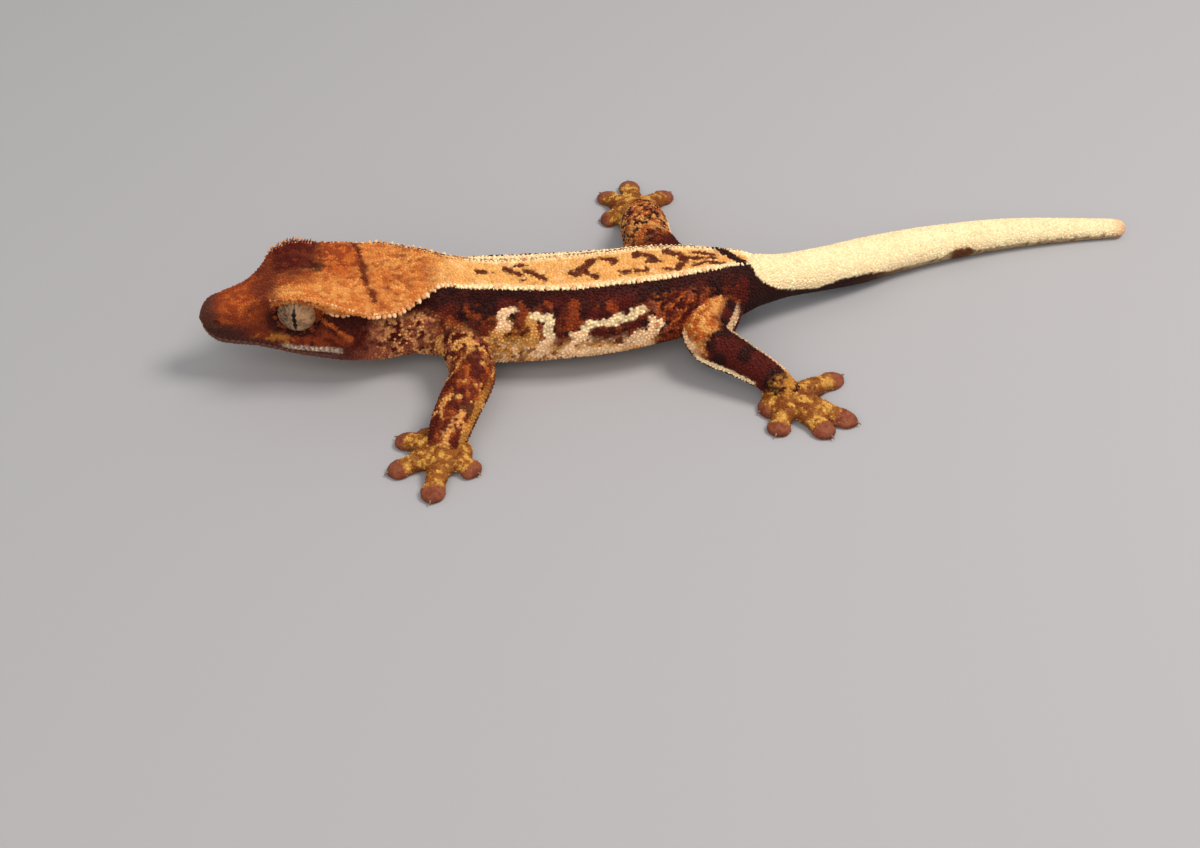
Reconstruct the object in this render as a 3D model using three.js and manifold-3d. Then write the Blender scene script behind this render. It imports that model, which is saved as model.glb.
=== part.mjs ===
// A young crested gecko at life size, standing with its legs spread and its tail laid out behind it.
// Millimetres, +Z up. The head points along -X and the gecko's left side faces -Y.
import * as THREE from "three";
import { mergeVertices } from "three/addons/utils/BufferGeometryUtils.js";
import Module from "manifold-3d";

const wasm = await Module();
wasm.setup();

// Driving dimensions
const TOTAL_LENGTH = 113.2; // snout tip to tail tip, along the spine
const SNOUT_ROUND = 2.0; // how far back the muzzle's rounded end reaches
const TAIL_TIP_ROUND = 1.3;
const SEAM = 0.3; // gap between neighbouring parts
const HEAD_END = 22.4; // stations along the spine where the parts meet
const NECK_END = 28.6;
const TORSO_END = 63.4;
const TAIL_MID = 80.5;
const TAIL_END = 97;
const EYE_RADIUS = 2.25;
const EYE_STATION = 11.4;
const EYE_SIDE = 3.75; // of the eyeball's centre, out from the midline
const EYE_LIFT = 1.75; // of the eyeball's centre, above the spine
const RIM_RADIUS = 2.35; // ring of skin round the eye
const RIM_THICKNESS = 0.42;
const NOSTRIL_STATION = 1.9;
const NOSTRIL_RADIUS = 0.32;
const EAR_STATION = 18.6;
const EAR_LENGTH = 1.7;
const EAR_WIDTH = 0.8;
const MOUTH_CORNER = 16.6; // station where the mouth line ends
const MOUTH_GROOVE = 0.26; // radius of the groove between the lips
const SPINE_PITCH = 1.15; // between the little spines of the crest
const SPINE_BASE = 0.48;
const CREST_START = 8.2;
const CREST_END = 60.5;

// A smooth curve through [station, value] knots that never overshoots them.
function profile(knots) {
  const x = knots.map((k) => k[0]);
  const y = knots.map((k) => k[1]);
  const slope = x.slice(1).map((b, i) => (y[i + 1] - y[i]) / (b - x[i]));
  const tangent = y.map((_, i) => {
    if (i === 0) return slope[0];
    if (i === y.length - 1) return slope[i - 1];
    const [a, b] = [slope[i - 1], slope[i]];
    return a * b > 0 ? (2 * a * b) / (a + b) : 0;
  });
  return (s) => {
    if (s <= x[0]) return y[0];
    if (s >= x[x.length - 1]) return y[y.length - 1];
    let i = 0;
    while (s > x[i + 1]) i += 1;
    const h = x[i + 1] - x[i];
    const t = (s - x[i]) / h;
    const rise = (1 - t) * (1 - t) * (1 + 2 * t) * y[i] + t * t * (3 - 2 * t) * y[i + 1];
    return rise + h * t * (1 - t) * ((1 - t) * tangent[i] - t * tangent[i + 1]);
  };
}

// The spine's line: stations in millimetres from the snout
const SPINE_X = profile([
  [0, -48.15], [5, -43.6], [10.7, -38.4], [20, -29.2], [25.5, -23.7], [31, -18.2], [41, -8.2], [49.5, 0.2],
  [57.8, 8.2], [62.6, 12.6], [69.1, 18.4], [76.1, 24.5], [82.7, 30.2], [89, 36.2], [98.6, 45.3],
  [106.6, 53.2], [TOTAL_LENGTH, 59.6],
]);
const SPINE_Y = profile([
  [0, -4.3], [10.7, -2.4], [20, -0.9], [25.5, -0.4], [41, -0.1], [49.5, 1.4], [57.8, 3.6],
  [62.6, 5.4], [69.1, 8.3], [76.1, 11.7], [82.7, 14.9], [89, 17.4], [98.6, 20.1], [106.6, 21.5],
  [TOTAL_LENGTH, 22.2],
]);
const SPINE_Z = profile([
  [0, 6.9], [10.7, 7.6], [20, 7.2], [25.5, 6.7], [31, 6.2], [49.5, 6.1], [57.8, 5.8], [62.6, 5.1],
  [69.1, 4.1], [76.1, 3.05], [82.7, 2.4], [89, 2.05], [98.6, 1.62], [106.6, 1.2], [TOTAL_LENGTH, 0.95],
]);

// The body's cross-section, by named lines that run along it. Heights are from the spine's line.
const BACK_HEIGHT = profile([
  [0, 2.0], [3, 2.1], [6, 2.45], [8.5, 3.3], [11, 4.1], [14, 4.2], [17, 4.0], [20, 3.7], [25, 3.7],
  [31, 3.9], [37, 3.9], [44, 4.25], [53, 4.1], [59, 3.6], [63, 2.9],
]);
const CREST_OUT = profile([
  [0, 1.3], [3, 1.9], [6, 2.5], [7.8, 3.3], [9.2, 4.9], [11.2, 5.75], [14, 6.1], [17, 6.9], [19.3, 7.2],
  [21.8, 6.7], [24.6, 4.9], [27.4, 2.8], [32, 2.6], [42, 3.1], [49, 3.1], [55, 2.5], [60.5, 1.5], [63, 1.3],
]);
const CREST_HEIGHT = profile([
  [0, 1.6], [3, 1.85], [6, 2.3], [7.8, 3.2], [9.4, 4.2], [11.2, 4.5], [14, 3.8], [17, 3.0], [19.3, 2.6],
  [21.8, 2.6], [24.6, 3.3], [27.4, 4.1], [32, 3.9], [36, 3.85], [44, 4.2], [53, 4.1], [60.5, 3.4], [63, 2.8],
]);
const TEMPLE_OUT = profile([
  [0, 1.5], [3, 2.3], [6, 3.0], [8.5, 3.3], [11, 3.7], [14, 4.5], [17, 5.2], [20, 5.2], [25, 4.3],
  [32, 4.9], [42, 5.2], [51, 4.7], [57, 3.9], [63, 2.6],
]);
const TEMPLE_HEIGHT = profile([
  [0, 0.6], [6, 0.8], [11, 1.2], [17, 1.4], [25, 2.0], [32, 2.7], [44, 2.8], [57, 2.3], [63, 1.5],
]);
const SIDE_OUT = profile([
  [0, 1.7], [3, 2.5], [6, 3.3], [8.5, 4.0], [11, 4.7], [14, 5.4], [17, 6.0], [20, 5.9], [25, 4.9],
  [28, 5.2], [32, 6.2], [42, 6.4], [49, 6.2], [55, 5.1], [59, 4.2], [63, 3.0],
]);
const SIDE_HEIGHT = profile([
  [0, -0.4], [6, -1.3], [11, -2.1], [17, -2.1], [25, -0.6], [32, -0.6], [44, -0.7], [63, -0.2],
]);
const LOWER_OUT = profile([
  [0, 1.5], [3, 2.4], [6, 3.0], [11, 4.1], [17, 5.1], [20, 5.0], [25, 4.2], [32, 4.8], [44, 4.9],
  [53, 4.2], [63, 2.2],
]);
const LOWER_HEIGHT = profile([
  [0, -1.4], [3, -2.1], [6, -2.6], [11, -3.7], [17, -4.4], [20, -4.6], [25, -4.3], [32, -4.65], [44, -3.75], [57, -3.2],
  [63, -2.1],
]);
const BELLY_HEIGHT = profile([
  [0, -1.8], [3, -2.6], [6, -3.15], [11, -4.1], [17, -4.9], [20, -5.1], [25, -4.8], [32, -5.25], [44, -4.5],
  [57, -4.2], [63, -3.0],
]);
const TAIL_RADIUS = profile([
  [60, 2.9], [66, 2.45], [72, 2.5], [77, 2.6], [83, 2.4], [90, 2.12], [98.6, 1.78], [106.6, 1.38],
  [TOTAL_LENGTH, 1.1],
]);
// The tail's round cross-section, as shares of its radius
const TAIL_SHAPE = [
  [0, 1], [0.58, 0.82], [0.92, 0.4], [1, -0.1], [0.72, -0.7], [0, -1],
];

// The spine's position and axes at a station: along points to the tail, side to the gecko's left.
function spineFrame(s) {
  const at = (t) => new THREE.Vector3(SPINE_X(t), SPINE_Y(t), SPINE_Z(t));
  const step = 0.4;
  const along = at(s + step).sub(at(s - step)).normalize();
  const side = along.clone().cross(new THREE.Vector3(0, 0, 1)).normalize();
  const up = side.clone().cross(along).normalize();
  return { origin: at(s), along, side, up };
}

const smooth = (a, b, s) => THREE.MathUtils.smoothstep(s, a, b);
const roundEnd = (distance, reach) =>
  distance >= reach ? 1 : Math.sqrt(Math.max(0, 1 - (1 - distance / reach) ** 2));

// The six lines of one half of the section at a station, as [out, height] pairs from back to belly
function sectionKeys(s) {
  const trunk = [
    [0, BACK_HEIGHT(s)],
    [CREST_OUT(s), CREST_HEIGHT(s)],
    [TEMPLE_OUT(s), TEMPLE_HEIGHT(s)],
    [SIDE_OUT(s), SIDE_HEIGHT(s)],
    [LOWER_OUT(s), LOWER_HEIGHT(s)],
    [0, BELLY_HEIGHT(s)],
  ];
  const tail = smooth(61, 68, s);
  const taper = roundEnd(s, SNOUT_ROUND) * roundEnd(TOTAL_LENGTH - s, TAIL_TIP_ROUND);
  return trunk.map(([out, height], i) => {
    const round = TAIL_SHAPE[i].map((share) => share * TAIL_RADIUS(s));
    return [
      taper * THREE.MathUtils.lerp(out, round[0], tail),
      taper * THREE.MathUtils.lerp(height, round[1], tail),
    ];
  });
}

// A point of the half section: v runs 0 at the back, 1 at the crest, 3 at the side, 5 under the belly.
function sectionPoint(keys, v) {
  if (v <= 1) return [keys[1][0] * v, THREE.MathUtils.lerp(keys[0][1], keys[1][1], v * v)];
  const i = Math.min(4, Math.floor(v));
  const t = v - i;
  const [a, b] = [keys[i], keys[i + 1]];
  const before = i === 1 ? [2 * a[0] - b[0], 2 * a[1] - b[1]] : keys[i - 1];
  const after = i === 4 ? [-keys[4][0], keys[4][1]] : keys[i + 2];
  return [0, 1].map((k) => {
    const [p, q] = [(b[k] - before[k]) / 2, (after[k] - a[k]) / 2];
    const bend = t * (1 - t) * ((1 - t) * p - t * q);
    return (1 - t) ** 2 * (1 + 2 * t) * a[k] + t * t * (3 - 2 * t) * b[k] + bend;
  });
}

// A point on the body: station s, section place v, side +1 for the gecko's left and -1 for its right
function bodyPoint(s, v, side, swell = 0) {
  const { origin, side: out, up } = spineFrame(s);
  const [x, z] = sectionPoint(sectionKeys(s), v);
  const size = Math.hypot(x, z) || 1;
  const grow = 1 + swell / size;
  return origin.addScaledVector(out, side * x * grow).addScaledVector(up, z * grow);
}

// A closed surface through rings of points, each ring running the same way round
function solidThroughRings(rings) {
  const count = rings[0].length;
  const centre = (ring) =>
    ring.reduce((sum, p) => sum.add(p), new THREE.Vector3()).divideScalar(count);
  const points = [...rings.flat(), centre(rings[0]), centre(rings[rings.length - 1])];
  const [first, last] = [points.length - 2, points.length - 1];
  const index = [];
  for (let j = 0; j < count; j += 1) {
    const next = (j + 1) % count;
    for (let i = 0; i + 1 < rings.length; i += 1) {
      const [a, b] = [i * count + j, i * count + next];
      index.push(a, b, a + count, b, b + count, a + count);
    }
    const end = (rings.length - 1) * count;
    index.push(first, next, j, last, end + j, end + next);
  }
  const geometry = new THREE.BufferGeometry().setFromPoints(points);
  geometry.setIndex(index);
  return toSolid(geometry);
}

// A three.js geometry as a solid, with its shared vertices merged
function toSolid(geometry) {
  const plain = geometry.clone();
  plain.deleteAttribute("normal");
  plain.deleteAttribute("uv");
  const merged = mergeVertices(plain, 1e-4);
  return new wasm.Manifold(
    new wasm.Mesh({
      numProp: 3,
      vertProperties: new Float32Array(merged.attributes.position.array),
      triVerts: new Uint32Array(merged.index.array),
    }),
  );
}

const joined = (solids) => solids.slice(1).reduce((whole, piece) => whole.add(piece), solids[0]);
const withVolume = (solid) => ({ solid, volume: solid.volume() });
const largest = (solid) =>
  solid.decompose().map(withVolume).sort((a, b) => b.volume - a.volume)[0].solid;

// The body between two stations, swollen outwards by an offset. Its two round ends have more rings.
const ROUND_STEPS = 5;
function bodyLength(from, to, spacing, sideSteps, swell = 0) {
  const rows = Math.max(2, Math.round((to - from) / spacing));
  const stations = [];
  for (let i = 0; i <= rows; i += 1) stations.push(from + ((to - from) * i) / rows);
  for (let i = 1; i < ROUND_STEPS; i += 1) {
    const share = 1 - Math.cos((i / ROUND_STEPS) * (Math.PI / 2));
    stations.push(share * SNOUT_ROUND, TOTAL_LENGTH - share * TAIL_TIP_ROUND);
  }
  const kept = stations.filter((s) => s >= from && s <= to).sort((a, b) => a - b);
  const places = [];
  for (let k = 0; k < 3; k += 1) places.push(k / 3);
  for (let k = 0; k <= 4 * sideSteps; k += 1) places.push(1 + k / sideSteps);
  const right = places.slice(1, -1).reverse();
  const rings = kept.map((s) => [
    ...places.map((v) => bodyPoint(s, v, 1, swell)),
    ...right.map((v) => bodyPoint(s, v, -1, swell)),
  ]);
  return solidThroughRings(rings);
}

// A limb: a tube through points, with [share of length, radius] knots and rounded ends
function tube(points, radii, rows, sides, flatness = () => 1) {
  const curve = new THREE.CatmullRomCurve3(points, false, "catmullrom", 0.5);
  const radius = profile(radii);
  const rings = [];
  for (let i = 0; i <= rows; i += 1) {
    const t = 0.5 - 0.5 * Math.cos((Math.PI * (i + 0.35)) / (rows + 0.7));
    const along = curve.getTangent(t);
    const side = along.clone().cross(new THREE.Vector3(0, 0, 1)).normalize();
    const up = side.clone().cross(along);
    const ring = [];
    for (let j = 0; j < sides; j += 1) {
      const turn = (2 * Math.PI * j) / sides;
      ring.push(
        curve
          .getPoint(t)
          .addScaledVector(up, Math.cos(turn) * radius(t) * flatness(t))
          .addScaledVector(side, Math.sin(turn) * radius(t)),
      );
    }
    rings.push(ring);
  }
  return solidThroughRings(rings);
}

// A cone that stands on a point, its root sunk into what it grows from
function spike(root, direction, base, height, sunk) {
  const cone = new THREE.ConeGeometry(base, height + sunk, 4, 1);
  cone.translate(0, (height + sunk) / 2 - sunk, 0);
  const turn = new THREE.Quaternion().setFromUnitVectors(new THREE.Vector3(0, 1, 0), direction);
  cone.applyQuaternion(turn);
  cone.translate(root.x, root.y, root.z);
  return toSolid(cone);
}

// The crest's fringe of small spines between two stations, on both sides
const CREST_SPINE_HEIGHT = profile([
  [8, 0.55], [10.5, 0.85], [13, 0.7], [20, 0.75], [28, 0.6], [60, 0.5],
]);
function crestSpines(from, to) {
  const spines = [];
  const count = Math.round((CREST_END - CREST_START) / SPINE_PITCH);
  for (let i = 0; i <= count; i += 1) {
    const s = CREST_START + ((CREST_END - CREST_START) * i) / count;
    if (s - SPINE_BASE < from || s + SPINE_BASE > to) continue;
    for (const side of [1, -1]) {
      const { side: out, up } = spineFrame(s);
      const lean = s < 26 ? 0.35 : 0.75;
      const direction = out.multiplyScalar(side).addScaledVector(up, lean).normalize();
      const varied = 1 + 0.15 * Math.sin(i * 2.4 + side);
      const root = bodyPoint(s, 1, side).addScaledVector(direction, -0.12);
      spines.push(spike(root, direction, SPINE_BASE, varied * CREST_SPINE_HEIGHT(s), 0.45));
    }
  }
  return spines;
}

// The eyes, and the rings of skin that hold them
function eyeCentre(side) {
  const { origin, side: out, up } = spineFrame(EYE_STATION);
  return origin.addScaledVector(out, side * EYE_SIDE).addScaledVector(up, EYE_LIFT);
}
// Each eye looks outwards, a little forwards and a little up.
function eyeAxis(side) {
  const { along, side: out, up } = spineFrame(EYE_STATION);
  return out.multiplyScalar(side).addScaledVector(along, -0.22).addScaledVector(up, 0.12).normalize();
}
function ball(centre, radius, columns, rows) {
  const sphere = new THREE.SphereGeometry(radius, columns, rows);
  sphere.translate(centre.x, centre.y, centre.z);
  return toSolid(sphere);
}
function eyeRim(side) {
  const ring = new THREE.TorusGeometry(RIM_RADIUS, RIM_THICKNESS, 6, 22);
  const turn = new THREE.Quaternion().setFromUnitVectors(new THREE.Vector3(0, 0, 1), eyeAxis(side));
  ring.applyQuaternion(turn);
  const middle = eyeCentre(side).addScaledVector(eyeAxis(side), 0.75);
  ring.translate(middle.x, middle.y, middle.z);
  return toSolid(ring);
}

// The groove between the lips, from one corner of the mouth round the muzzle to the other
const MOUTH_PLACE = 3.45;
function mouthGroove() {
  const points = [];
  const steps = 9;
  for (let i = -steps; i <= steps; i += 1) {
    const s = 0.35 + (MOUTH_CORNER - 0.35) * (Math.abs(i) / steps) ** 1.6;
    if (i !== 0) points.push(bodyPoint(s, MOUTH_PLACE, Math.sign(i)));
    else points.push(bodyPoint(0.06, MOUTH_PLACE, 1));
  }
  return tube(points, [[0, MOUTH_GROOVE], [1, MOUTH_GROOVE]], 40, 5);
}

function nostril(side) {
  return ball(bodyPoint(NOSTRIL_STATION, 2.1, side), NOSTRIL_RADIUS, 10, 6);
}

function earCup(side) {
  const cup = new THREE.SphereGeometry(0.5, 12, 8);
  cup.scale(EAR_WIDTH, 1.3, EAR_LENGTH);
  const middle = bodyPoint(EAR_STATION, 2.75, side);
  cup.translate(middle.x, middle.y, middle.z);
  return toSolid(cup);
}

function makeHead() {
  const bare = bodyLength(0.03, HEAD_END - SEAM / 2, 1.25, 3);
  const grown = joined([bare, eyeRim(1), eyeRim(-1), ...crestSpines(0, HEAD_END)]);
  const hollows = [mouthGroove()];
  for (const side of [1, -1]) {
    hollows.push(ball(eyeCentre(side), EYE_RADIUS + SEAM, 18, 12), nostril(side), earCup(side));
  }
  return largest(hollows.reduce((whole, hollow) => whole.subtract(hollow), grown));
}

const makeNeck = () =>
  largest(joined([
    bodyLength(HEAD_END + SEAM / 2, NECK_END - SEAM / 2, 1.2, 3),
    ...crestSpines(HEAD_END, NECK_END),
  ]));

const makeTorso = () =>
  largest(joined([
    bodyLength(NECK_END + SEAM / 2, TORSO_END - SEAM / 2, 2.1, 3),
    ...crestSpines(NECK_END, TORSO_END),
  ]));

// Everything below the floor, cut away to leave small flats at one level
const floorBlock = toSolid(new THREE.BoxGeometry(200, 200, 10).translate(0, 0, -5));
const tailPiece = (from, to) => largest(bodyLength(from, to, 2.2, 2).subtract(floorBlock));

// Legs: points from the root inside the body to the middle of the foot, radii along them,
// the cuts at the elbow or knee and at the wrist or ankle, and the toes' tips in plan
const point = (x, y, z) => new THREE.Vector3(x, y, z);
const LEGS = {
  front_left: {
    line: [
      point(-19.6, -2.4, 4.6), point(-19.1, -6.2, 4.0), point(-18.3, -10.2, 3.7),
      point(-19.4, -14.2, 3.1), point(-20.3, -17.4, 2.35), point(-20.9, -19.8, 1.2),
    ],
    radii: [[0, 2.6], [0.2, 2.5], [0.4, 2.4], [0.6, 2.3], [0.8, 2.15], [1, 1.7]],
    toes: [[-23.6, -15.4], [-26.2, -16.6], [-26.7, -22.4], [-21.9, -26.9], [-17.1, -22.5]],
  },
  front_right: {
    line: [
      point(-18.6, 2.0, 5.0), point(-18.4, 5.4, 4.4), point(-18.2, 7.9, 3.6),
      point(-20.2, 9.2, 2.8), point(-22.2, 10.4, 1.9), point(-23.6, 11.4, 1.2),
    ],
    radii: [[0, 2.5], [0.25, 2.3], [0.42, 2.3], [0.6, 2.15], [0.8, 1.85], [1, 1.5]],
    toes: [[-26.9, 8.0], [-29.3, 10.9], [-28.0, 16.0], [-23.6, 16.9], [-19.6, 14.2]],
  },
  hind_left: {
    line: [
      point(9.6, 3.2, 4.8), point(8.0, -1.2, 4.7), point(7.5, -4.4, 4.1),
      point(11.0, -7.1, 3.4), point(14.1, -9.1, 2.5), point(16.0, -10.9, 1.2),
    ],
    radii: [[0, 2.6], [0.2, 2.8], [0.4, 2.5], [0.6, 1.95], [0.8, 1.65], [1, 1.5]],
    toes: [[12.7, -12.4], [14.2, -16.3], [20.2, -16.6], [23.2, -14.3], [22.3, -6.0]],
  },
  hind_right: {
    line: [
      point(9.0, 5.6, 4.2), point(4.9, 9.6, 3.4), point(1.6, 13.8, 3.7),
      point(0.9, 18.0, 3.4), point(0.6, 21.9, 2.5), point(-0.2, 25.4, 1.2),
    ],
    radii: [[0, 2.2], [0.2, 2.3], [0.4, 2.8], [0.6, 2.8], [0.8, 2.3], [1, 1.6]],
    toes: [[-4.5, 24.7], [-4.5, 30.8], [-1.0, 33.6], [4.3, 31.0], [2.9, 23.0]],
  },
};
const KNEE_SHARE = 0.4; // of the leg's length, where the upper leg ends
const ANKLE_SHARE = 0.82;
const PALM_RADIUS = 3.0;
const PALM_THICKNESS = 1.05;
const TOE_WIDTH = [[0, 1.5], [0.36, 1.2], [0.5, 1.05], [0.68, 1.35], [0.84, 1.15], [0.95, 0.6], [1, 0.25]];
const TOE_FLATNESS = profile([[0, 0.9], [0.5, 0.8], [0.75, 0.55], [1, 0.5]]);
const CLAW_LENGTH = 0.45;
const CLAW_BASE = 0.24;

// A toe from the palm to its tip: a narrow stalk that ends in a wide flat pad and a small claw
function toe(palm, [x, y]) {
  const tip = point(x, y, 0.3);
  const knuckle = palm.clone().lerp(tip, 0.45).setZ(0.85);
  const pad = palm.clone().lerp(tip, 0.78).setZ(0.42);
  const reach = tip.clone().sub(palm).setZ(-0.12).normalize();
  const claw = spike(tip, reach, CLAW_BASE, CLAW_LENGTH, 0.4);
  const root = palm.clone().setZ(0.95);
  return tube([root, knuckle, pad, tip], TOE_WIDTH, 6, 7, TOE_FLATNESS).add(claw);
}

// All the space on one side of a plane across a limb: -1 towards the body, +1 towards the foot
function beyond(curve, share, direction) {
  const reach = 60;
  const block = new THREE.BoxGeometry(reach, reach, reach).translate(0, 0, reach / 2 + SEAM / 2);
  const facing = curve.getTangent(share).multiplyScalar(direction);
  const turn = new THREE.Quaternion().setFromUnitVectors(new THREE.Vector3(0, 0, 1), facing);
  block.applyQuaternion(turn);
  const middle = curve.getPoint(share);
  block.translate(middle.x, middle.y, middle.z);
  return toSolid(block);
}

// A leg, trimmed where it leaves the body and parted at the elbow or knee and at the wrist or ankle
const swollenBody = bodyLength(20, 72, 1.7, 3, SEAM);
function makeLeg(leg) {
  const curve = new THREE.CatmullRomCurve3(leg.line, false, "catmullrom", 0.5);
  const palm = leg.line[leg.line.length - 1];
  const sole = new THREE.SphereGeometry(1, 12, 6);
  sole.scale(PALM_RADIUS, PALM_RADIUS, PALM_THICKNESS);
  sole.translate(palm.x, palm.y, PALM_THICKNESS * 0.85);
  const limb = tube(leg.line, leg.radii, 16, 12);
  const swollen = tube(leg.line, leg.radii.map(([t, r]) => [t, r + SEAM]), 16, 12);
  const bodySide = (share) => beyond(curve, share, -1);
  const footSide = (share) => beyond(curve, share, 1);
  const hand = joined([
    limb.intersect(footSide(ANKLE_SHARE)), toSolid(sole), ...leg.toes.map((tip) => toe(palm, tip)),
  ]);
  const pieces = {
    upper: limb.intersect(bodySide(KNEE_SHARE)).subtract(swollenBody),
    lower: limb.intersect(footSide(KNEE_SHARE)).intersect(bodySide(ANKLE_SHARE)),
    foot: hand.subtract(swollen.subtract(footSide(ANKLE_SHARE))),
  };
  return Object.entries(pieces).map(([name, solid]) => [name, largest(solid.subtract(floorBlock))]);
}

// Colours by part, read from the animal: rust and cream above, dark maroon sides, cream tail
const skin = (color) => new THREE.MeshStandardMaterial({ color, roughness: 0.62, metalness: 0 });
const COLOURS = {
  head: 0xa8602c, neck: 0xa86a35, torso: 0x7d4424, tail: 0xecc98a, upper: 0x6b2f16, lower: 0x5a2212,
  foot: 0xb4813c,
};

const group = new THREE.Group();
function addPart(name, solid, material) {
  const { vertProperties, triVerts, numProp } = solid.getMesh();
  const geometry = new THREE.BufferGeometry();
  const flat = new THREE.InterleavedBuffer(vertProperties, numProp);
  geometry.setAttribute("position", new THREE.InterleavedBufferAttribute(flat, 3, 0));
  geometry.setIndex(new THREE.BufferAttribute(triVerts, 1));
  geometry.computeVertexNormals();
  const mesh = new THREE.Mesh(geometry, material);
  mesh.name = name;
  group.add(mesh);
}

addPart("head", makeHead(), skin(COLOURS.head));
addPart("neck", makeNeck(), skin(COLOURS.neck));
addPart("torso", makeTorso(), skin(COLOURS.torso));
addPart("tail_base", tailPiece(TORSO_END + SEAM / 2, TAIL_MID - SEAM / 2), skin(COLOURS.tail));
addPart("tail_middle", tailPiece(TAIL_MID + SEAM / 2, TAIL_END - SEAM / 2), skin(COLOURS.tail));
addPart("tail_tip", tailPiece(TAIL_END + SEAM / 2, TOTAL_LENGTH - 0.02), skin(COLOURS.tail));
const eyeMaterial = new THREE.MeshStandardMaterial({ color: 0x9c9080, roughness: 0.12, metalness: 0 });
addPart("eye_left", ball(eyeCentre(1), EYE_RADIUS, 18, 12), eyeMaterial);
addPart("eye_right", ball(eyeCentre(-1), EYE_RADIUS, 18, 12), eyeMaterial);
for (const [name, leg] of Object.entries(LEGS)) {
  for (const [part, solid] of makeLeg(leg)) addPart(`${name}_${part}`, solid, skin(COLOURS[part]));
}

// The origin is on the floor, at the middle of the model's bounding box.
const box = new THREE.Box3().setFromObject(group);
const centre = box.getCenter(new THREE.Vector3());
group.position.set(-centre.x, -centre.y, -box.min.z);

export default group;
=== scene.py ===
import itertools
import math

import bpy
import numpy as np
from mathutils import Euler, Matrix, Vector
from mathutils.bvhtree import BVHTree
from mathutils.kdtree import KDTree


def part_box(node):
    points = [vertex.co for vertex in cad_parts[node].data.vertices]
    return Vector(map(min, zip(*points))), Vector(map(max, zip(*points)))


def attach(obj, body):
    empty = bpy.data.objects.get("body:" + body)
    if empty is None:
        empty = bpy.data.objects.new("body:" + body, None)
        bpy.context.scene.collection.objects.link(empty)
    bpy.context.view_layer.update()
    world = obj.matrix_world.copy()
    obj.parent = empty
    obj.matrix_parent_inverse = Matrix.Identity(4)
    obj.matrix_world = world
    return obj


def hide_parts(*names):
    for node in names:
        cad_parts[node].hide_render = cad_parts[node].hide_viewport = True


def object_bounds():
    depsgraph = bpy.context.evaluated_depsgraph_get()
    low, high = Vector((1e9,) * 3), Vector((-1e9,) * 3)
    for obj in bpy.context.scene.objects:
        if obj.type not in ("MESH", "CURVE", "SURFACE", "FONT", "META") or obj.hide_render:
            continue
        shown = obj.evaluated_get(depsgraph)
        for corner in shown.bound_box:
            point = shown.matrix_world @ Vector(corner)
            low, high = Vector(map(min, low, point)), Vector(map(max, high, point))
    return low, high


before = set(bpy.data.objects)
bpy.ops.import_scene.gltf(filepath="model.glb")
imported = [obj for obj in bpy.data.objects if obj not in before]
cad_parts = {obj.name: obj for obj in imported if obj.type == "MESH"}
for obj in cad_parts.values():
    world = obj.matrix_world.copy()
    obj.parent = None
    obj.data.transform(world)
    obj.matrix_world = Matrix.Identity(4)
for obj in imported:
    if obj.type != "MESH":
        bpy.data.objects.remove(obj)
cad_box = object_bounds()

# The gecko's own sizes are in millimetres: +X is tailwards, the gecko's left side faces -Y, and Z is up.
MM = 0.001

# The body: stations are places along the spine, from the snout's tip
TOTAL_LENGTH = 113.2
SNOUT_ROUND = 2.0
TAIL_TIP_ROUND = 1.3
TAIL_STARTS = 61.0
TAIL_IS_ROUND = 68.0


def profile(knots):
    """A smooth curve through (station, value) knots that never overshoots them."""
    x, y = np.array(knots, float).T
    slope = np.diff(y) / np.diff(x)
    before, after = slope[:-1], slope[1:]
    bend = np.where(before * after > 0, 2 * before * after / (before + after + 1e-12), 0.0)
    tangent = np.concatenate([slope[:1], bend, slope[-1:]])

    def value(s):
        s = np.clip(s, x[0], x[-1])
        i = np.clip(np.searchsorted(x, s, side="right") - 1, 0, len(slope) - 1)
        h = x[i + 1] - x[i]
        t = (s - x[i]) / h
        rise = (1 - t) ** 2 * (1 + 2 * t) * y[i] + t * t * (3 - 2 * t) * y[i + 1]
        return rise + h * t * (1 - t) * ((1 - t) * tangent[i] - t * tangent[i + 1])

    return value


SPINE_X = profile([
    (0, -48.15), (5, -43.6), (10.7, -38.4), (20, -29.2), (25.5, -23.7), (31, -18.2), (41, -8.2), (49.5, 0.2),
    (57.8, 8.2), (62.6, 12.6), (69.1, 18.4), (76.1, 24.5), (82.7, 30.2), (89, 36.2), (98.6, 45.3),
    (106.6, 53.2), (TOTAL_LENGTH, 59.6),
])
SPINE_Y = profile([
    (0, -4.3), (10.7, -2.4), (20, -0.9), (25.5, -0.4), (41, -0.1), (49.5, 1.4), (57.8, 3.6),
    (62.6, 5.4), (69.1, 8.3), (76.1, 11.7), (82.7, 14.9), (89, 17.4), (98.6, 20.1), (106.6, 21.5),
    (TOTAL_LENGTH, 22.2),
])
SPINE_Z = profile([
    (0, 6.9), (10.7, 7.6), (20, 7.2), (25.5, 6.7), (31, 6.2), (49.5, 6.1), (57.8, 5.8), (62.6, 5.1),
    (69.1, 4.1), (76.1, 3.05), (82.7, 2.4), (89, 2.05), (98.6, 1.62), (106.6, 1.2), (TOTAL_LENGTH, 0.95),
])
BACK_HEIGHT = profile([
    (0, 2.0), (3, 2.1), (6, 2.45), (8.5, 3.3), (11, 4.1), (14, 4.2), (17, 4.0), (20, 3.7), (25, 3.7),
    (31, 3.9), (37, 3.9), (44, 4.25), (53, 4.1), (59, 3.6), (63, 2.9),
])
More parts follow.
